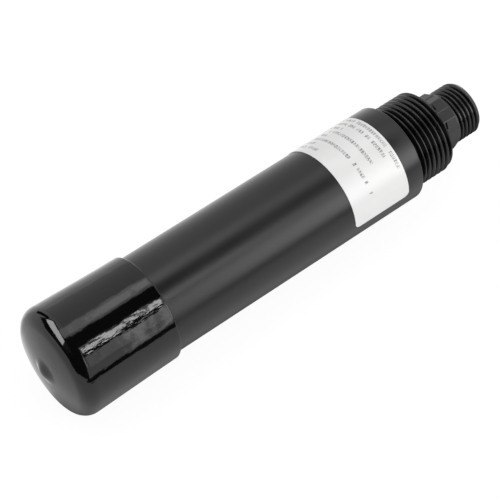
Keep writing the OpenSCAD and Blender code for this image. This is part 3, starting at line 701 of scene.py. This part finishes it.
def cap_material():
    """Glossy dipped vinyl with faint ripples, and deeper runs along a strip of its front."""
    material, tree, shader, where, grain = grainy_material(
        "cap_vinyl", settings().colours.cap, 0.8, 1.2, (0.05, 0.1), patch_scale=90.0, grain_scale=420.0
    )
    strip_turn, strip_from, strip_to, elsewhere = math.radians(36.5), 0.05, 0.13, 0.25
    _, y, z = split_xyz(tree, where["Object"])
    turn = calc(tree, "ARCTAN2", product(tree, y, -1.0), z)
    off = calc(tree, "ABSOLUTE", calc(tree, "SUBTRACT", turn, strip_turn))
    near = change_range(tree, off, strip_from, strip_to, 1.0, elsewhere)
    stretched = add_node(tree, "ShaderNodeMapping", {"Vector": where["Object"], "Scale": (0.3, 1.0, 1.0)})
    runs = add_noise(tree, stretched, 800.0, 2.0, 0.45)
    height = product(tree, calc(tree, "SUBTRACT", runs, 0.5), near)
    ripples = add_bump(tree, grain, 0.012 * MM)
    set_inputs(tree, shader, {"Normal": add_bump(tree, height, 0.085 * MM, ripples)})
    return material


def label_material():
    """Satin silver-white film with rows of small grey print."""
    sizes, colours = settings().label, settings().colours
    material, tree, shader, where, grain = grainy_material(
        "label_film", colours.label, 0.97, 1.03, (0.3, 0.36), patch_scale=160.0, grain_scale=3000.0
    )
    strength = 0.95 if settings().show_print else 0.0
    rows = group_node(tree, "Printed rows", {
        "Vector": where["UV"], "Row pitch": sizes.row_pitch, "First row": sizes.first_row,
    })
    cover_colour(tree, shader, product(tree, rows, strength), colours.ink)
    set_inputs(tree, shader, {"Metallic": 0.045, "Normal": add_bump(tree, grain, 0.002 * MM)})
    return material


# Finishes of the nodes that keep their own mesh: kind, roughness, depth of the grain
NODE_FINISHES = {
    "head_plastic": ("turned", (0.27, 0.35), 0.002 * MM),
    "retainer_plastic": ("turned", (0.3, 0.38), 0.002 * MM),
    "seal_rubber": ("plain", (0.35, 0.5), 0.004 * MM),
    "block_plastic": ("plain", (0.5, 0.65), 0.006 * MM),
    "guide_plastic": ("plain", (0.4, 0.55), 0.006 * MM),
    "insert_plastic": ("plain", (0.4, 0.5), 0.006 * MM),
    "chip_black": ("plain", (0.45, 0.6), 0.004 * MM),
    "board_green": ("plain", (0.3, 0.42), 0.004 * MM),
    "header_white": ("plain", (0.4, 0.5), 0.004 * MM),
    "inductor_grey": ("plain", (0.55, 0.7), 0.01 * MM),
    "led_epoxy": ("plain", (0.08, 0.12), 0.001 * MM),
    "screw_steel": ("metal", (0.25, 0.4), 0.002 * MM),
    "can_metal": ("metal", (0.22, 0.35), 0.002 * MM),
    "pin_gold": ("metal", (0.18, 0.28), 0.001 * MM),
}
NODE_FINISHES |= {f"wire_{c}": ("plain", (0.3, 0.4), 0.002 * MM) for c in ("red", "black", "yellow", "blue")}
NODE_FINISHES |= {f"{c}_glass": ("glass", None, None) for c in ("window", "lens", "blue", "red")}


def node_material(slot_name):
    """The material of a slot whose nodes keep their own mesh."""
    kind, rough, depth = NODE_FINISHES[slot_name]
    rgb = SLOT_COLOURS[slot_name]
    if kind == "glass":
        return glass_material(slot_name, rgb)
    if kind == "metal":
        return plastic_material(slot_name, rgb, rough, depth, metallic=1.0, grain_scale=4000.0)
    if kind == "turned":
        return plastic_material(slot_name, rgb, rough, depth, spread=0.1, turning=0.0015 * MM)
    return plastic_material(slot_name, rgb, rough, depth)


# Stage helpers

WHITE = (1.0, 1.0, 1.0, 1.0)


def any_ray(tree, *kinds):
    """1 for rays of any of these kinds, such as Camera, Glossy or Transmission."""
    path = add_node(tree, "ShaderNodeLightPath")
    first, *others = (path.outputs["Is " + kind + " Ray"] for kind in kinds)
    for other in others:
        first = calc(tree, "ADD", first, other)
    return calc(tree, "MINIMUM", first, 1.0)


def facing(place, along, out):
    """Matrix of a lamp or card at a place: its length runs along one direction, and it faces against out."""
    return Matrix.Translation(place) @ Matrix((along, out.cross(along), out)).transposed().to_4x4()


def strip_place(reach, turn, middle):
    """Place of a strip along X that faces the axis from that turn, with its middle at that X."""
    out = Vector((0.0, -math.sin(turn), math.cos(turn)))
    return facing(out * reach + Vector((middle, 0.0, 0.0)), Vector((1.0, 0.0, 0.0)), out)


def card_place(azimuth, elevation, away):
    """Place of a card that faces the cap from that direction, measured from +X towards +Y."""
    level = math.cos(elevation)
    out = Vector((level * math.cos(azimuth), level * math.sin(azimuth), math.sin(elevation)))
    along = Vector((-math.sin(azimuth), math.cos(azimuth), 0.0))
    return facing(out * away + Vector((CAP_LOW.x, 0.0, 0.0)), along, out)


def strip_width(reach, degrees):
    """Width of a strip that spans an angle, seen from the axis."""
    return 2.0 * reach * math.tan(math.radians(degrees) / 2.0)


def add_card(name, long, wide, light, place):
    """A card that only reflections see, black or with a light of its own."""
    mesh = flat_mesh(name, long, wide)
    material, tree, shader = plain_material(name)
    set_inputs(tree, shader, {
        "Base Color": (0.004, 0.004, 0.004, 1.0), "Roughness": 1.0, "Specular IOR Level": 0.0,
        "Emission Color": WHITE, "Emission Strength": light,
    })
    mesh.materials.append(material)
    card = new_object(name, mesh)
    card.matrix_world = place
    for rays in ("camera", "diffuse", "shadow", "transmission"):
        setattr(card, "visible_" + rays, False)


# Operators


class SENSOR_OT_stage(bpy.types.Operator):
    """Camera, floor, room light, lamps and dark cards"""

    bl_idname = "sensor.stage"
    bl_label = "Stage"

    def execute(self, context):
        stage = settings().stage
        self.make_camera(context, stage)
        self.make_floor()
        self.make_room(context, stage)
        self.make_lamps(stage)
        self.make_cards(stage)
        context.scene.view_settings.view_transform = "Standard"
        return {"FINISHED"}

    def make_camera(self, context, stage):
        data = bpy.data.cameras.new("camera")
        data.lens = stage.lens
        data.sensor_width = 36.0
        data.clip_start = 0.01
        data.clip_end = 20.0
        camera = new_object("camera", data)
        level = math.cos(stage.elevation)
        out = Vector((
            math.sin(stage.azimuth) * level, -math.cos(stage.azimuth) * level, math.sin(stage.elevation)
        ))
        camera.location = Vector(stage.aim) + out * stage.distance
        camera.rotation_euler = (math.pi / 2 - stage.elevation, 0.0, stage.azimuth)
        context.scene.camera = camera

    def make_floor(self):
        side, below = 12.0, 0.2 * MM
        mesh = flat_mesh("floor", side, side)
        floor = new_object("floor", mesh)
        floor.location = (0.0, 0.0, CAD_LOW[2] - below)
        material, tree, shader = plain_material("floor")
        set_inputs(tree, shader, {
            "Base Color": shade(settings().colours.floor), "Roughness": 0.9, "Specular IOR Level": 0.1,
        })
        # Each kind of ray sees its own share of glow. The rest is the plain floor with its shadow
        straight_share, glossy_share, direct_light = 0.88, 0.85, 1.05
        glossy = any_ray(tree, "Glossy")
        share = product(tree, any_ray(tree, "Camera", "Transmission"), straight_share)
        share = calc(tree, "MULTIPLY_ADD", glossy, glossy_share, share)
        # Painted shadow and light on the floor, which only reflections see
        reflected = product(tree, self.painted_floor_glow(tree), glossy)
        direct = calc(tree, "MULTIPLY_ADD", glossy, -direct_light, direct_light)
        glow = add_node(tree, "ShaderNodeEmission", {"Strength": calc(tree, "ADD", reflected, direct)})
        mix = add_node(tree, "ShaderNodeMixShader", {"Fac": share, 1: shader, 2: glow})
        set_inputs(tree, find_node(tree, "OUTPUT_MATERIAL"), {"Surface": mix})
        mesh.materials.append(material)

    def painted_floor_glow(self, tree):
        """Light of the floor in reflections, painted by place: a painted shadow, dim beside and under the
        sensor, and painted light, bright behind it and past its cap.
        """
        # Glow across the floor along Y: the low stops near 0.1 are a painted shadow under the sensor
        stops = [
            (0.0, 0.47), (0.07, 0.45), (0.079, 0.4), (0.084, 0.22), (0.088, 0.08), (0.092, 0.02),
            (0.1, 0.02), (0.106, 0.4), (0.12, 0.6), (0.132, 0.86), (0.15, 0.76), (0.2, 0.61),
            (0.45, 0.56), (1.0, 0.48),
        ]
        stops_from, gain, open_floor, fade = -0.1, 2.0, 0.9, 6.0 * MM
        x, y, _ = split_xyz(tree, add_node(tree, "ShaderNodeTexCoord").outputs["Object"])
        across = grey_ramp(tree, calc(tree, "SUBTRACT", y, stops_from), stops)
        beside = change_range(tree, x, CAD_LOW[0] - fade, CAD_LOW[0] + fade)
        change = calc(tree, "MULTIPLY_ADD", across, gain, -open_floor)
        return calc(tree, "MULTIPLY_ADD", change, beside, open_floor)

    def make_room(self, context, stage):
        world = bpy.data.worlds.new("room")
        context.scene.world = world
        world.use_nodes = True
        tree = world.node_tree
        tree.nodes.clear()
        room = add_node(tree, "ShaderNodeBackground", {"Color": WHITE, "Strength": stage.ambient})
        white = add_node(tree, "ShaderNodeBackground", {"Color": WHITE, "Strength": 1.0})
        seen = any_ray(tree, "Camera", "Glossy", "Transmission")
        mix = add_node(tree, "ShaderNodeMixShader", {"Fac": seen, 1: room, 2: white})
        add_node(tree, "ShaderNodeOutputWorld", {"Surface": mix})

    def make_lamps(self, stage):
        """Lamps along the axis: turn and width in degrees, from and to along it, light."""
        lamps = [
            ("lamp_top", -10.0, 19.0, -0.4, 0.29, 0.8),
            ("lamp_patch", -9.5, 12.0, 0.163, 0.208, 0.9),
            ("lamp_key", 36.3, 10.2, 0.13, 0.2, 8.0),
            ("lamp_front", 65.0, 36.0, 0.2, 1.5, 1.0),
            ("lamp_wide", 42.0, 10.0, 0.3, 1.5, 0.9),
            ("lamp_side", 66.0, 30.0, 0.25, 1.5, 0.5),
            ("lamp_end", 67.0, 30.0, 0.31, 1.5, 1.1),
            ("lamp_panel", 60.0, 20.0, 0.14, 0.213, 0.55),
            ("lamp_rim", 68.0, 36.0, 0.192, 0.22, 0.95),
            ("lamp_glint", 56.0, 18.0, -0.05, -0.025, 5.0),
        ]
        for name, turn, width, start, end, light in lamps:
            data = bpy.data.lights.new(name, "AREA")
            data.shape = "RECTANGLE"
            data.size = end - start
            data.size_y = strip_width(stage.reach, width)
            data.energy = light * math.pi * data.size * data.size_y
            lamp = new_object(name, data)
            lamp.matrix_world = strip_place(stage.reach, math.radians(turn), (start + end) / 2.0)

    def make_cards(self, stage):
        """Cards along the axis, given as the lamps are, one low in front, and some round the cap."""
        nearer = stage.reach * 0.97
        strips = [
            ("card_top", 15.8, 25.0, -0.4, 0.385, 0.0),
            ("card_line", 45.8, 8.2, 0.06, 0.21, 0.0),
            ("card_back", -50.0, 55.0, 0.08, 1.5, 0.78),
        ]
        for name, turn, width, start, end, light in strips:
            place = strip_place(nearer, math.radians(turn), (start + end) / 2.0)
            add_card(name, end - start, strip_width(stage.reach, width), light, place)
        front = Matrix.Translation((0.63, -0.2, CAD_LOW[2] + 2.0 * MM))
        add_card("card_low", 1.74, 0.24, 0.0, front @ Matrix.Rotation(math.radians(-17.0), 4, "X"))
        # Azimuth and elevation in degrees, distance from the cap, length, width, light
        around = [
            ("card_dark", 227.0, 40.0, 0.72, 1.17, 1.15, 0.0),
            ("card_frame", 147.0, 45.5, 0.82, 1.36, 0.76, 0.0),
            ("card_glow", 148.0, 53.0, 0.8, 1.15, 0.36, 7.0),
            ("card_post", 91.0, 20.0, 0.8, 0.16, 0.5, 0.0),
        ]
        for name, azimuth, elevation, away, long, wide, light in around:
            place = card_place(math.radians(azimuth), math.radians(elevation), away)
            add_card(name, long, wide, light, place)


class SENSOR_OT_housing(bpy.types.Operator):
    """Tube, shoulder and neck with a right-hand pipe thread"""

    bl_idname = "sensor.housing"
    bl_label = "Housing"

    def execute(self, context):
        sizes = settings().thread
        depth = PIPE_DEPTH * sizes.pitch
        root_r = sizes.crest_r - depth
        neck_end = HOUSING_HIGH.x
        bevel_l, bevel_h = 0.2 * MM, 0.45 * MM
        bm = bmesh.new()
        lathe(bm, self.outline(sizes, root_r, neck_end, bevel_l, bevel_h), 192)
        core = finish_mesh(bm, "housing_core", 40.0)
        material = body_material()
        # Painted shade, deep black, in the relief beside the shoulder and in the thread's grooves
        groove_shade_from, groove_shade_to = sizes.shoulder_x + 0.2 * MM, neck_end - 0.1 * MM
        paint_groove_shade(material, groove_shade_from, groove_shade_to, sizes.crest_r, 0.35 * MM)
        end_x = neck_end - 0.04 * MM
        ridge = thread_ridge(
            sizes.pitch, depth, root_r, sizes.first_x, sizes.start_turn, end_x, material,
            {
                "Crest width": sizes.pitch / 7.0, "Foot width": sizes.pitch + 0.16 * MM,
                "Rounding": 0.09 * MM, "End taper": 0.45, "Steps": 120,
            },
        )
        self.bevel_ridge(ridge, root_r, neck_end, bevel_l, bevel_h)
        mesh = join_meshes("housing_shell", [core, ridge], 35.0)
        add_piece(mesh, material, "sensor", "housing")
        return {"FINISHED"}

    def outline(self, sizes, root_r, neck_end, bevel_l, bevel_h):
        """Section of the tube, the shoulder, the relief and the neck, and back through the bore."""
        tube_end, body_r = HOUSING_LOW.x, HOUSING_HIGH.z
        bore_r = GUIDE_HIGH.z + 0.15 * MM
        floor_x = sizes.shoulder_x - 3.0 * MM
        relief_r = root_r - 0.1 * MM
        edge, hollow, chamfer = 0.4 * MM, 0.25 * MM, 0.2 * MM
        straight_from, straight_to = tube_end + edge, sizes.shoulder_x - edge
        points = [(tube_end, bore_r)]
        points += arc(straight_from, body_r - edge, edge, 180.0, 90.0, 5)
        points += slope((straight_from, body_r), (straight_to, body_r), 24)
        points += arc(straight_to, body_r - edge, edge, 90.0, 0.0, 5)
        points += arc(sizes.shoulder_x + hollow, relief_r + hollow, hollow, 180.0, 270.0, 4)
        return points + [
            (sizes.first_x - 0.9 * MM, relief_r),
            (sizes.first_x - 0.8 * MM, root_r),
            (neck_end - bevel_l, root_r),
            (neck_end, root_r - bevel_h),
            (neck_end, NECK_BORE_R + chamfer),
            (neck_end - chamfer, NECK_BORE_R),
            (floor_x, NECK_BORE_R),
            (floor_x, bore_r),
        ]

    def bevel_ridge(self, ridge, root_r, neck_end, bevel_l, bevel_h):
        """Keeps the thread's ridge inside the neck's end face and its bevel."""
        for v in ridge.vertices:
            v.co.x = min(v.co.x, neck_end - 0.02 * MM)
            r = math.hypot(v.co.y, v.co.z)
            limit = root_r - bevel_h + (neck_end - v.co.x) * bevel_h / bevel_l
            if r > limit:
                v.co.y, v.co.z = v.co.y * limit / r, v.co.z * limit / r


class SENSOR_OT_connector(bpy.types.Operator):
    """Tail connector: stub, eight-sided ring, collar, thread and keyed socket"""

    bl_idname = "sensor.connector"
    bl_label = "Connector"

    def execute(self, context):
        sizes = settings().thread
        pitch = sizes.coupling_pitch
        depth = METRIC_DEPTH * pitch
        root_r = sizes.coupling_r - depth
        end_x = SHELL_HIGH.x
        ring_x = GASKET_HIGH.x
        ring_end = ring_x + sizes.octagon_l
        insert_r = INSERT_HIGH.z + FIT
        gasket_r = STUB_R - 0.5 * MM
        bm = bmesh.new()
        lathe(bm, self.outline(sizes, depth, root_r, ring_end, insert_r, gasket_r), 160)
        self.add_ring(bm, sizes, ring_x, ring_end, (gasket_r + insert_r) / 2)
        self.add_key(bm, sizes.socket_r, INSERT_HIGH.x + 0.4 * MM, end_x - 1.2 * MM)
        core = finish_mesh(bm, "connector_core", 35.0)
        material = connector_material()
        # Painted shade, deep black, in the grooves of the connector's thread
        groove_shade_from, groove_shade_to = sizes.coupling_x - 0.8 * MM, end_x - 1.4 * MM
        paint_groove_shade(material, groove_shade_from, groove_shade_to, sizes.coupling_r, 0.13 * MM)
        ridge = thread_ridge(
            pitch, depth, root_r, sizes.coupling_x, sizes.coupling_turn, end_x - 0.75 * MM, material,
            {
                "Crest width": pitch / 9.0, "Foot width": pitch * 0.95,
                "Rounding": 0.07 * MM, "End taper": 0.5, "Steps": 96,
            },
        )
        mesh = join_meshes("tail_connector", [core, ridge], 35.0)
        add_piece(mesh, material, "sensor", "connector_shell")
        return {"FINISHED"}

    def outline(self, sizes, depth, root_r, ring_end, insert_r, gasket_r):
        """Section of the stub, the collar, the thread's core and its lead-in, and back by the socket."""
        end_x, stub_x = SHELL_HIGH.x, SHELL_LOW.x
        collar_r, collar_end, collar_edge = root_r + 0.6 * depth, ring_end + sizes.collar_l, 0.15 * MM
        hidden_x = ring_end - 1.0 * MM
        insert_x = ring_end - 2.0 * MM
        lead_x, lead_l, lead_h = end_x - 1.5 * MM, 0.3 * MM, 0.72 * MM
        chamfer, lip, lip_h = 0.4 * MM, 0.35 * MM, 0.25 * MM
        points = [
            (stub_x, insert_r), (stub_x, STUB_R - chamfer), (stub_x + chamfer, STUB_R),
            (GASKET_LOW.x, STUB_R), (GASKET_LOW.x, gasket_r), (hidden_x, gasket_r), (hidden_x, collar_r),
        ]
        points += arc(collar_end - collar_edge, collar_r - collar_edge, collar_edge, 90.0, 0.0, 3)
        points += [(collar_end, root_r), (lead_x, root_r), (lead_x + lead_l, root_r + lead_h)]
        points += arc(end_x - lip, root_r - lip + lip_h, lip, 60.0, 0.0, 4)
        points += arc(end_x - lip, sizes.socket_r + lip, lip, 0.0, -90.0, 4)
        return points + [(insert_x, sizes.socket_r), (insert_x, insert_r)]

    def add_ring(self, bm, sizes, x0, x1, inner_r):
        """Eight-sided ring with soft corners, a bevelled front and a slot at the foot of each flat."""
        eighth = math.tau / 8.0
        flat_r = sizes.octagon_flats / 2.0
        corner_r = flat_r / math.cos(eighth / 2.0)
        soft, softness = 0.12 * MM, 0.4
        bevel, bevel_h, bevel_steps = 0.9 * MM, 0.9 * MM * 0.75, 6
        slot_w, slot_depth, slot_x = 0.55 * MM, 0.8 * MM, x0 + sizes.slot_at
        slot_from, slot_to = math.radians(2.0), math.radians(16.0)
        step_from, step_w, step_down = eighth * 0.5, math.radians(2.5), 0.14 * MM
        step_to = step_from + step_w
        tiny, tiny_turn = 0.01 * MM, 0.0005
        near_corner = (0.004, 0.01, 0.02)

        places = [x0, slot_x - tiny, slot_x, slot_x + slot_w, slot_x + slot_w + tiny]
        places += [slot_x + 1.0 * MM, x1 - bevel * 1.2]
        places += [x1 - bevel * (1.0 - i / bevel_steps) for i in range(bevel_steps + 1)]
        marks = [0.0, *near_corner, slot_from - tiny_turn, slot_from, slot_to, slot_to + tiny_turn]
        marks += [slot_to + (step_from - slot_to) * i / 4.0 for i in range(1, 5)]
        marks += [step_from + step_w * i / 5.0 for i in range(1, 6)]
        marks += [step_to + (eighth - step_from - step_w) * i / 6.0 for i in range(1, 6)]
        marks += [eighth - m for m in near_corner]
        marks.sort()
        turns = [sizes.octagon_turn + side * eighth + m for side in range(8) for m in marks]

        rings = [[bm.verts.new(ring_point(x0, inner_r, t)) for t in turns]]
        for x in places:
            into_bevel = max(0.0, x - (x1 - bevel)) / bevel
            limit = corner_r - bevel_h * (1.0 - math.sqrt(1.0 - into_bevel ** 2))
            ring = []
            for t in turns:
                within = (t - sizes.octagon_turn) % eighth
                down = min(1.0, max(0.0, (within - step_from) / step_w))
                r = flat_r / math.cos(within - eighth / 2.0) - step_down * down * down * (3.0 - 2.0 * down)
                r = min(r, limit)
                if r > corner_r - soft:
                    r = corner_r - soft + (r - corner_r + soft) * softness
                if slot_from <= within <= slot_to and slot_x <= x <= slot_x + slot_w:
                    r = flat_r - slot_depth
                ring.append(bm.verts.new(ring_point(x, r, t)))
            rings.append(ring)
        rings.append([bm.verts.new(ring_point(x1, inner_r, t)) for t in turns])
        for low, high in zip(rings, rings[1:] + rings[:1]):
            bridge(bm, low, high)

    def add_key(self, bm, socket_r, x0, x1):
        """Key along the top of the socket, sunk a little into its wall."""
        wide, high, sunk = 1.4 * MM, 0.8 * MM, 0.3 * MM
        verts = bmesh.ops.create_cube(bm, size=1.0)["verts"]
        bmesh.ops.scale(bm, vec=(x1 - x0, wide, high + sunk), verts=verts)
        middle = ((x0 + x1) / 2, 0.0, socket_r - high / 2 + sunk / 2)
        bmesh.ops.translate(bm, vec=middle, verts=verts)
        edges = list({e for v in verts for e in v.link_edges})
        bmesh.ops.bevel(bm, geom=edges, offset=0.12 * MM, segments=2, affect="EDGES")


class SENSOR_OT_cap(bpy.types.Operator):
    """Dipped soft cap with slow waves in its skin, a domed end and a drip nub"""

    bl_idname = "sensor.cap"
    bl_label = "Cap"

    def execute(self, context):
        sizes = settings().cap
        bore_r = HOUSING_HIGH.z + 0.1 * MM
        floor_x = HEAD_LOW.x - 0.5 * MM
        bm = bmesh.new()
        lathe(bm, self.outline(sizes, bore_r, floor_x), 224, closed=False)
        bmesh.ops.remove_doubles(bm, verts=bm.verts, dist=1e-7)
        self.add_waves(bm, sizes, bore_r, floor_x)
        mesh = finish_mesh(bm, "dipped_cap", 60.0)
        add_piece(mesh, cap_material(), "cap", "protective_cap")
        return {"FINISHED"}

    def outline(self, sizes, bore_r, floor_x):
        """Section from the middle of the bore's floor, round the rim, to the tip of the nub."""
        rim_x, end_r, edge_x = CAP_HIGH.x, CAP_HIGH.z, floor_x - sizes.floor
        rim_r = bore_r + sizes.rim_wall
        lip, fillet = sizes.rim_wall * 0.48, 0.4 * MM
        lip_x, corner_x = rim_x - lip, edge_x + sizes.corner
        points = [(floor_x, 0.0), (floor_x, bore_r * 0.5), (floor_x, bore_r - fillet)]
        points += arc(floor_x + fillet, bore_r - fillet, fillet, 180.0, 90.0, 4)[1:]
        points += slope((floor_x + fillet, bore_r), (lip_x, bore_r), 30)
        points += arc(lip_x, bore_r + lip, lip, -90.0, 0.0, 6)
        points += arc(lip_x, rim_r - lip, lip, 0.0, 90.0, 8)
        points += slope((lip_x, rim_r), (corner_x, end_r), 64)

        # The tilt at which the rounded corner runs into the dome
        tilt = 0.0
        for _ in range(12):
            dome_r = end_r - sizes.corner * (1.0 - math.sin(tilt))
            dome_x = edge_x + sizes.corner * (1.0 - math.cos(tilt))
            dome_h = sizes.dome + dome_x - edge_x
            tilt = math.atan(2.0 * dome_h / dome_r)
        points += arc(corner_x, end_r - sizes.corner, sizes.corner, 90.0, 180.0 - math.degrees(tilt), 20)
        dome_steps = 48
        for i in range(1, dome_steps + 1):
            r = dome_r * (1.0 - i / dome_steps)
            rise = dome_h * (1.0 - (r / dome_r) ** 2)
            if r < sizes.nub_r:
                rise += sizes.nub_h * (1.0 + math.cos(math.pi * r / sizes.nub_r)) / 2.0
            points.append((dome_x - rise, max(r, 0.0)))
        return points

    def add_waves(self, bm, sizes, bore_r, floor_x):
        """Moves the outer skin in and out. The bore and the rim stay true."""
        skin = 0.3 * MM
        still, fade_l = 1.2 * MM, 4.0 * MM
        slow_scale, quick_scale = 110.0, 420.0
        end_r, end_share, shrink = CAP_HIGH.z * 0.8, 0.3, 0.6
        noise.seed_set(sizes.seed)
        drift = Vector((3.1, 7.7, 1.3)) * sizes.seed
        for v in bm.verts:
            r = math.hypot(v.co.y, v.co.z)
            at_end = v.co.x < floor_x - skin
            if r <= bore_r + skin and not at_end:
                continue
            fade = min(1.0, max(0.0, (CAP_HIGH.x - still - v.co.x) / fade_l))
            slow = noise.noise(v.co * slow_scale + drift)
            quick = noise.noise(v.co * quick_scale + drift)
            move = fade * (sizes.swell * slow + sizes.ripple * quick)
            if at_end and r < end_r:
                v.co.x += abs(move) * end_share
            else:
                out = Vector((0.0, v.co.y, v.co.z)).normalized()
                v.co += out * (move - sizes.swell * shrink * fade)


class SENSOR_OT_label(bpy.types.Operator):
    """Thin label round the top of the body, laid on slightly askew"""

    bl_idname = "sensor.label"
    bl_label = "Label"

    def execute(self, context):
        sizes = settings().label
        inner_r, outer_r = HOUSING_HIGH.z + 0.03 * MM, LABEL_HIGH.z
        half, corner_turn = sizes.arc / 2.0, sizes.corner / outer_r
        corner_steps, straight_steps, rows = 8, 88, 12
        corner = [
            -half + corner_turn * (1 - math.cos(math.pi / 2 * i / corner_steps))
            for i in range(corner_steps + 1)
        ]
        straight = [
            -half + corner_turn + (sizes.arc - 2 * corner_turn) * i / straight_steps
            for i in range(1, straight_steps)
        ]
        bm = bmesh.new()
        uv_layer = bm.loops.layers.uv.new("map")
        outer, inner, maps = [], [], {}
        for t in corner + straight + [-t for t in reversed(corner)]:
            near = min(half - abs(t), corner_turn) * outer_r
            inset = sizes.corner - math.sqrt(max(0.0, sizes.corner ** 2 - (sizes.corner - near) ** 2))
            drift = sizes.skew * (t - settings().thread.front_turn)
            low = LABEL_LOW.x + inset + drift
            high = LABEL_HIGH.x - inset + drift
            places = [low + (high - low) * j / rows for j in range(rows + 1)]
            for lines, r in ((outer, outer_r), (inner, inner_r)):
                lines.append([bm.verts.new(ring_point(x, r, t)) for x in places])
                maps.update({
                    v: ((t + half) * outer_r, x - drift - LABEL_LOW.x) for v, x in zip(lines[-1], places)
                })
        for a, b, under_a, under_b in zip(outer, outer[1:], inner, inner[1:]):
            for j in range(rows):
                bm.faces.new((a[j], b[j], b[j + 1], a[j + 1]))
                bm.faces.new((under_a[j], under_a[j + 1], under_b[j + 1], under_b[j]))
            for j in (0, rows):
                bm.faces.new((a[j], under_a[j], under_b[j], b[j]))
        for top, under in ((outer[0], inner[0]), (outer[-1], inner[-1])):
            for j in range(rows):
                bm.faces.new((top[j], top[j + 1], under[j + 1], under[j]))
        for face in bm.faces:
            for loop in face.loops:
                loop[uv_layer].uv = maps[loop.vert]
        add_piece(finish_mesh(bm, "label_film", 30.0), label_material(), "sensor", "label")
        return {"FINISHED"}


class SENSOR_OT_node_finishes(bpy.types.Operator):
    """Finishes of the head, the optics, the boards, the wires and the pins"""

    bl_idname = "sensor.node_finishes"
    bl_label = "Inner pieces"

    def execute(self, context):
        made = {}
        for node, slot_name in NODE_SLOTS.items():
            if slot_name not in NODE_FINISHES:
                continue
            if slot_name not in made:
                made[slot_name] = node_material(slot_name)
            obj = frame["nodes"][node]
            obj.data.materials.clear()
            obj.data.materials.append(made[slot_name])
        return {"FINISHED"}


class SENSOR_PT_panel(bpy.types.Panel):
    """Lists the pieces and their settings"""

    bl_label = "Sensor"
    bl_idname = "SENSOR_PT_panel"
    bl_space_type = "VIEW_3D"
    bl_region_type = "UI"
    bl_category = "Sensor"

    def draw(self, context):
        layout = self.layout
        for operator in OPERATORS:
            layout.operator(operator.bl_idname)
        for group in ("thread", "cap", "label", "colours", "stage"):
            box = layout.box()
            box.label(text=group.capitalize())
            owner = getattr(context.scene.sensor, group)
            for name in owner.__annotations__:
                box.prop(owner, name)
        layout.prop(context.scene.sensor, "show_print")


OPERATORS = (
    SENSOR_OT_stage,
    SENSOR_OT_housing,
    SENSOR_OT_connector,
    SENSOR_OT_cap,
    SENSOR_OT_label,
    SENSOR_OT_node_finishes,
)
GROUPS = (
    SensorThreadSizes, SensorCapSizes, SensorLabelSizes, SensorColours, SensorStage, SensorSettings,
)


def register():
    """Registers the settings, the operators and the panel."""
    for cls in GROUPS + OPERATORS + (SENSOR_PT_panel,):
        bpy.utils.register_class(cls)
    bpy.types.Scene.sensor = PointerProperty(type=SensorSettings)


def unregister():
    """Takes them away again."""
    del bpy.types.Scene.sensor
    for cls in reversed(GROUPS + OPERATORS + (SENSOR_PT_panel,)):
        bpy.utils.unregister_class(cls)


def main():
    """Makes the stage and every piece."""
    register()
    bpy.ops.sensor.stage()
    bpy.ops.sensor.housing()
    bpy.ops.sensor.connector()
    bpy.ops.sensor.cap()
    bpy.ops.sensor.label()
    bpy.ops.sensor.node_finishes()


if __name__ == "__main__":
    main()
